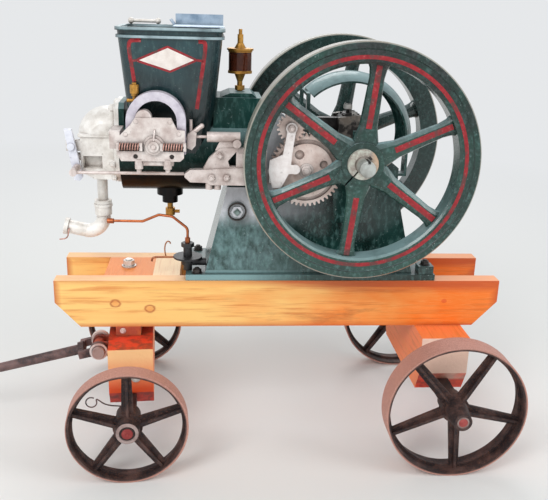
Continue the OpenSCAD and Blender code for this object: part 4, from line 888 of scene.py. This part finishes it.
# Wheel ends and truck fittings
# A dark washer closes each hub and the axle's end, dabbed red, stands in its middle. The
# drawbar's eyes wear bright, and bolts and a twist of wire are left on the front truck.
axle_end_red = rusty_iron("red_dabbed_axle_end", "#8c2f30", "#b25450", 0.5)
hub_iron = rusty_iron("blackened_hub_washer", "#2a2224", "#5a4743", 0.55)
worn_washer = rusty_iron("worn_steel_washer", "#ab9894", "#7d6662", 0.5)
pale_washer = rusty_iron("pale_worn_eye", "#e3d6d2", "#b9948c", 0.55)
lean = math.radians(3.6)
king = Vector((0.00967, 0, 0))
axle_way = Vector((-math.sin(lean), math.cos(lean), 0))
truck_way = Vector((math.cos(lean), math.sin(lean), 0))


def beside_king(x, y, z):
    """Turns millimetres in the frame of the front truck, which stands a little turned, into a place."""
    return king + (truck_way * x + axle_way * y + Vector((0, 0, z))) / 1000


pin_x, pin_z = -77, 190
rear_axle_x, rear_axle_z, rear_face = 0.74767, 0.158, 0.3449
front_ends = (("washer", [(0, 24), (2.2, 24), (3.4, 22.4), (3.4, 17.4), (0.6, 16.6)], worn_washer),
              ("cap", [(0, 15.4), (2, 15), (2.6, 12.6), (0.4, 12.2)], hub_iron),
              ("end", [(0, 12), (3.6, 12), (4.6, 10.8), (4.6, 4), (3.4, 3), (3.4, 0)], axle_end_red))
rear_ends = (("washer", [(0, 19.4), (0.5, 19.4), (0.8, 18.8), (0.8, 14), (0, 13.7)], hub_iron),
             ("cap", [(0, 13.4), (0.6, 13.2), (0.9, 12.6), (0.9, 10.2), (0.2, 9.9)], worn_washer),
             ("end", [(0, 9.8), (0.5, 9.8), (0.8, 9), (0.8, 0)], axle_end_red))
for side, sign in (("near", -1), ("far", 1)):
    for label, profile, finish_of in rear_ends:
        turned(f"rear_{side}_axle_{label}", profile, Vector((rear_axle_x, sign * rear_face, rear_axle_z)),
               (0, sign, 0), finish_of, f"rear_{side}_wheel", 40)
    for label, profile, finish_of in front_ends:
        turned(f"front_{side}_axle_{label}", profile, beside_king(0, sign * 319.8, 130), axle_way * sign,
               finish_of, f"front_{side}_wheel", 40)
    turned(f"drawbar_{side}_eye_ring", [(0, 21.6), (1.4, 21.4), (1.8, 20.4), (1.8, 16.6), (0, 16.2)],
           beside_king(pin_x, sign * 39.9, pin_z), axle_way * sign, pale_washer, "drawbar", 36)
    turned(f"drawbar_pin_{side}_head", [(0, 15.3), (8.4, 15.3), (9.6, 13.8), (8.6, 12.6), (8.2, 0)],
           beside_king(pin_x, sign * 42, pin_z), axle_way * sign, worn_washer, "front_truck",
           36)
red_lead = rusty_iron("red_leaded_tube", "#7a3228", "#c0502f", 0.45)
turned("drawbar_pin_tube", [(0, 7), (0, 14.5), (27, 14.5), (27, 7)], beside_king(pin_x, -13.5, pin_z),
       axle_way, red_lead, "front_truck", 36)
turned("drawbar_eye_band", [(0, 16.4), (-0.5, 16.8), (-0.5, 21.8), (0, 22.5), (11.4, 22.5), (11.6, 22.05)],
       beside_king(pin_x, 28, pin_z), axle_way, pale_washer, "drawbar", 36)
nuts("axletree_end_bolt", [beside_king(15.8, -180, 188)], -axle_way, 8, 4, silver_paint, "front_truck",
     washer=11)
nuts("bolster_end_bolt", [Vector((0.0023, -0.103, 0.2705))], near_side, 6, 3.5, pale_washer, washer=7)
twist = [(-62 + 12.5 * math.cos(a), 138.5 + 12.5 * math.sin(a)) for a in
         (math.radians(60 + 30 * n) for n in range(12))]
twist += [(-49, 147.5), (-30, 131), (6.8, 128)]
wire_run("axle_wire_loop", [Vector((x, -200, z)) / 1000 for x, z in twist], 1.5, forged, "front_truck")
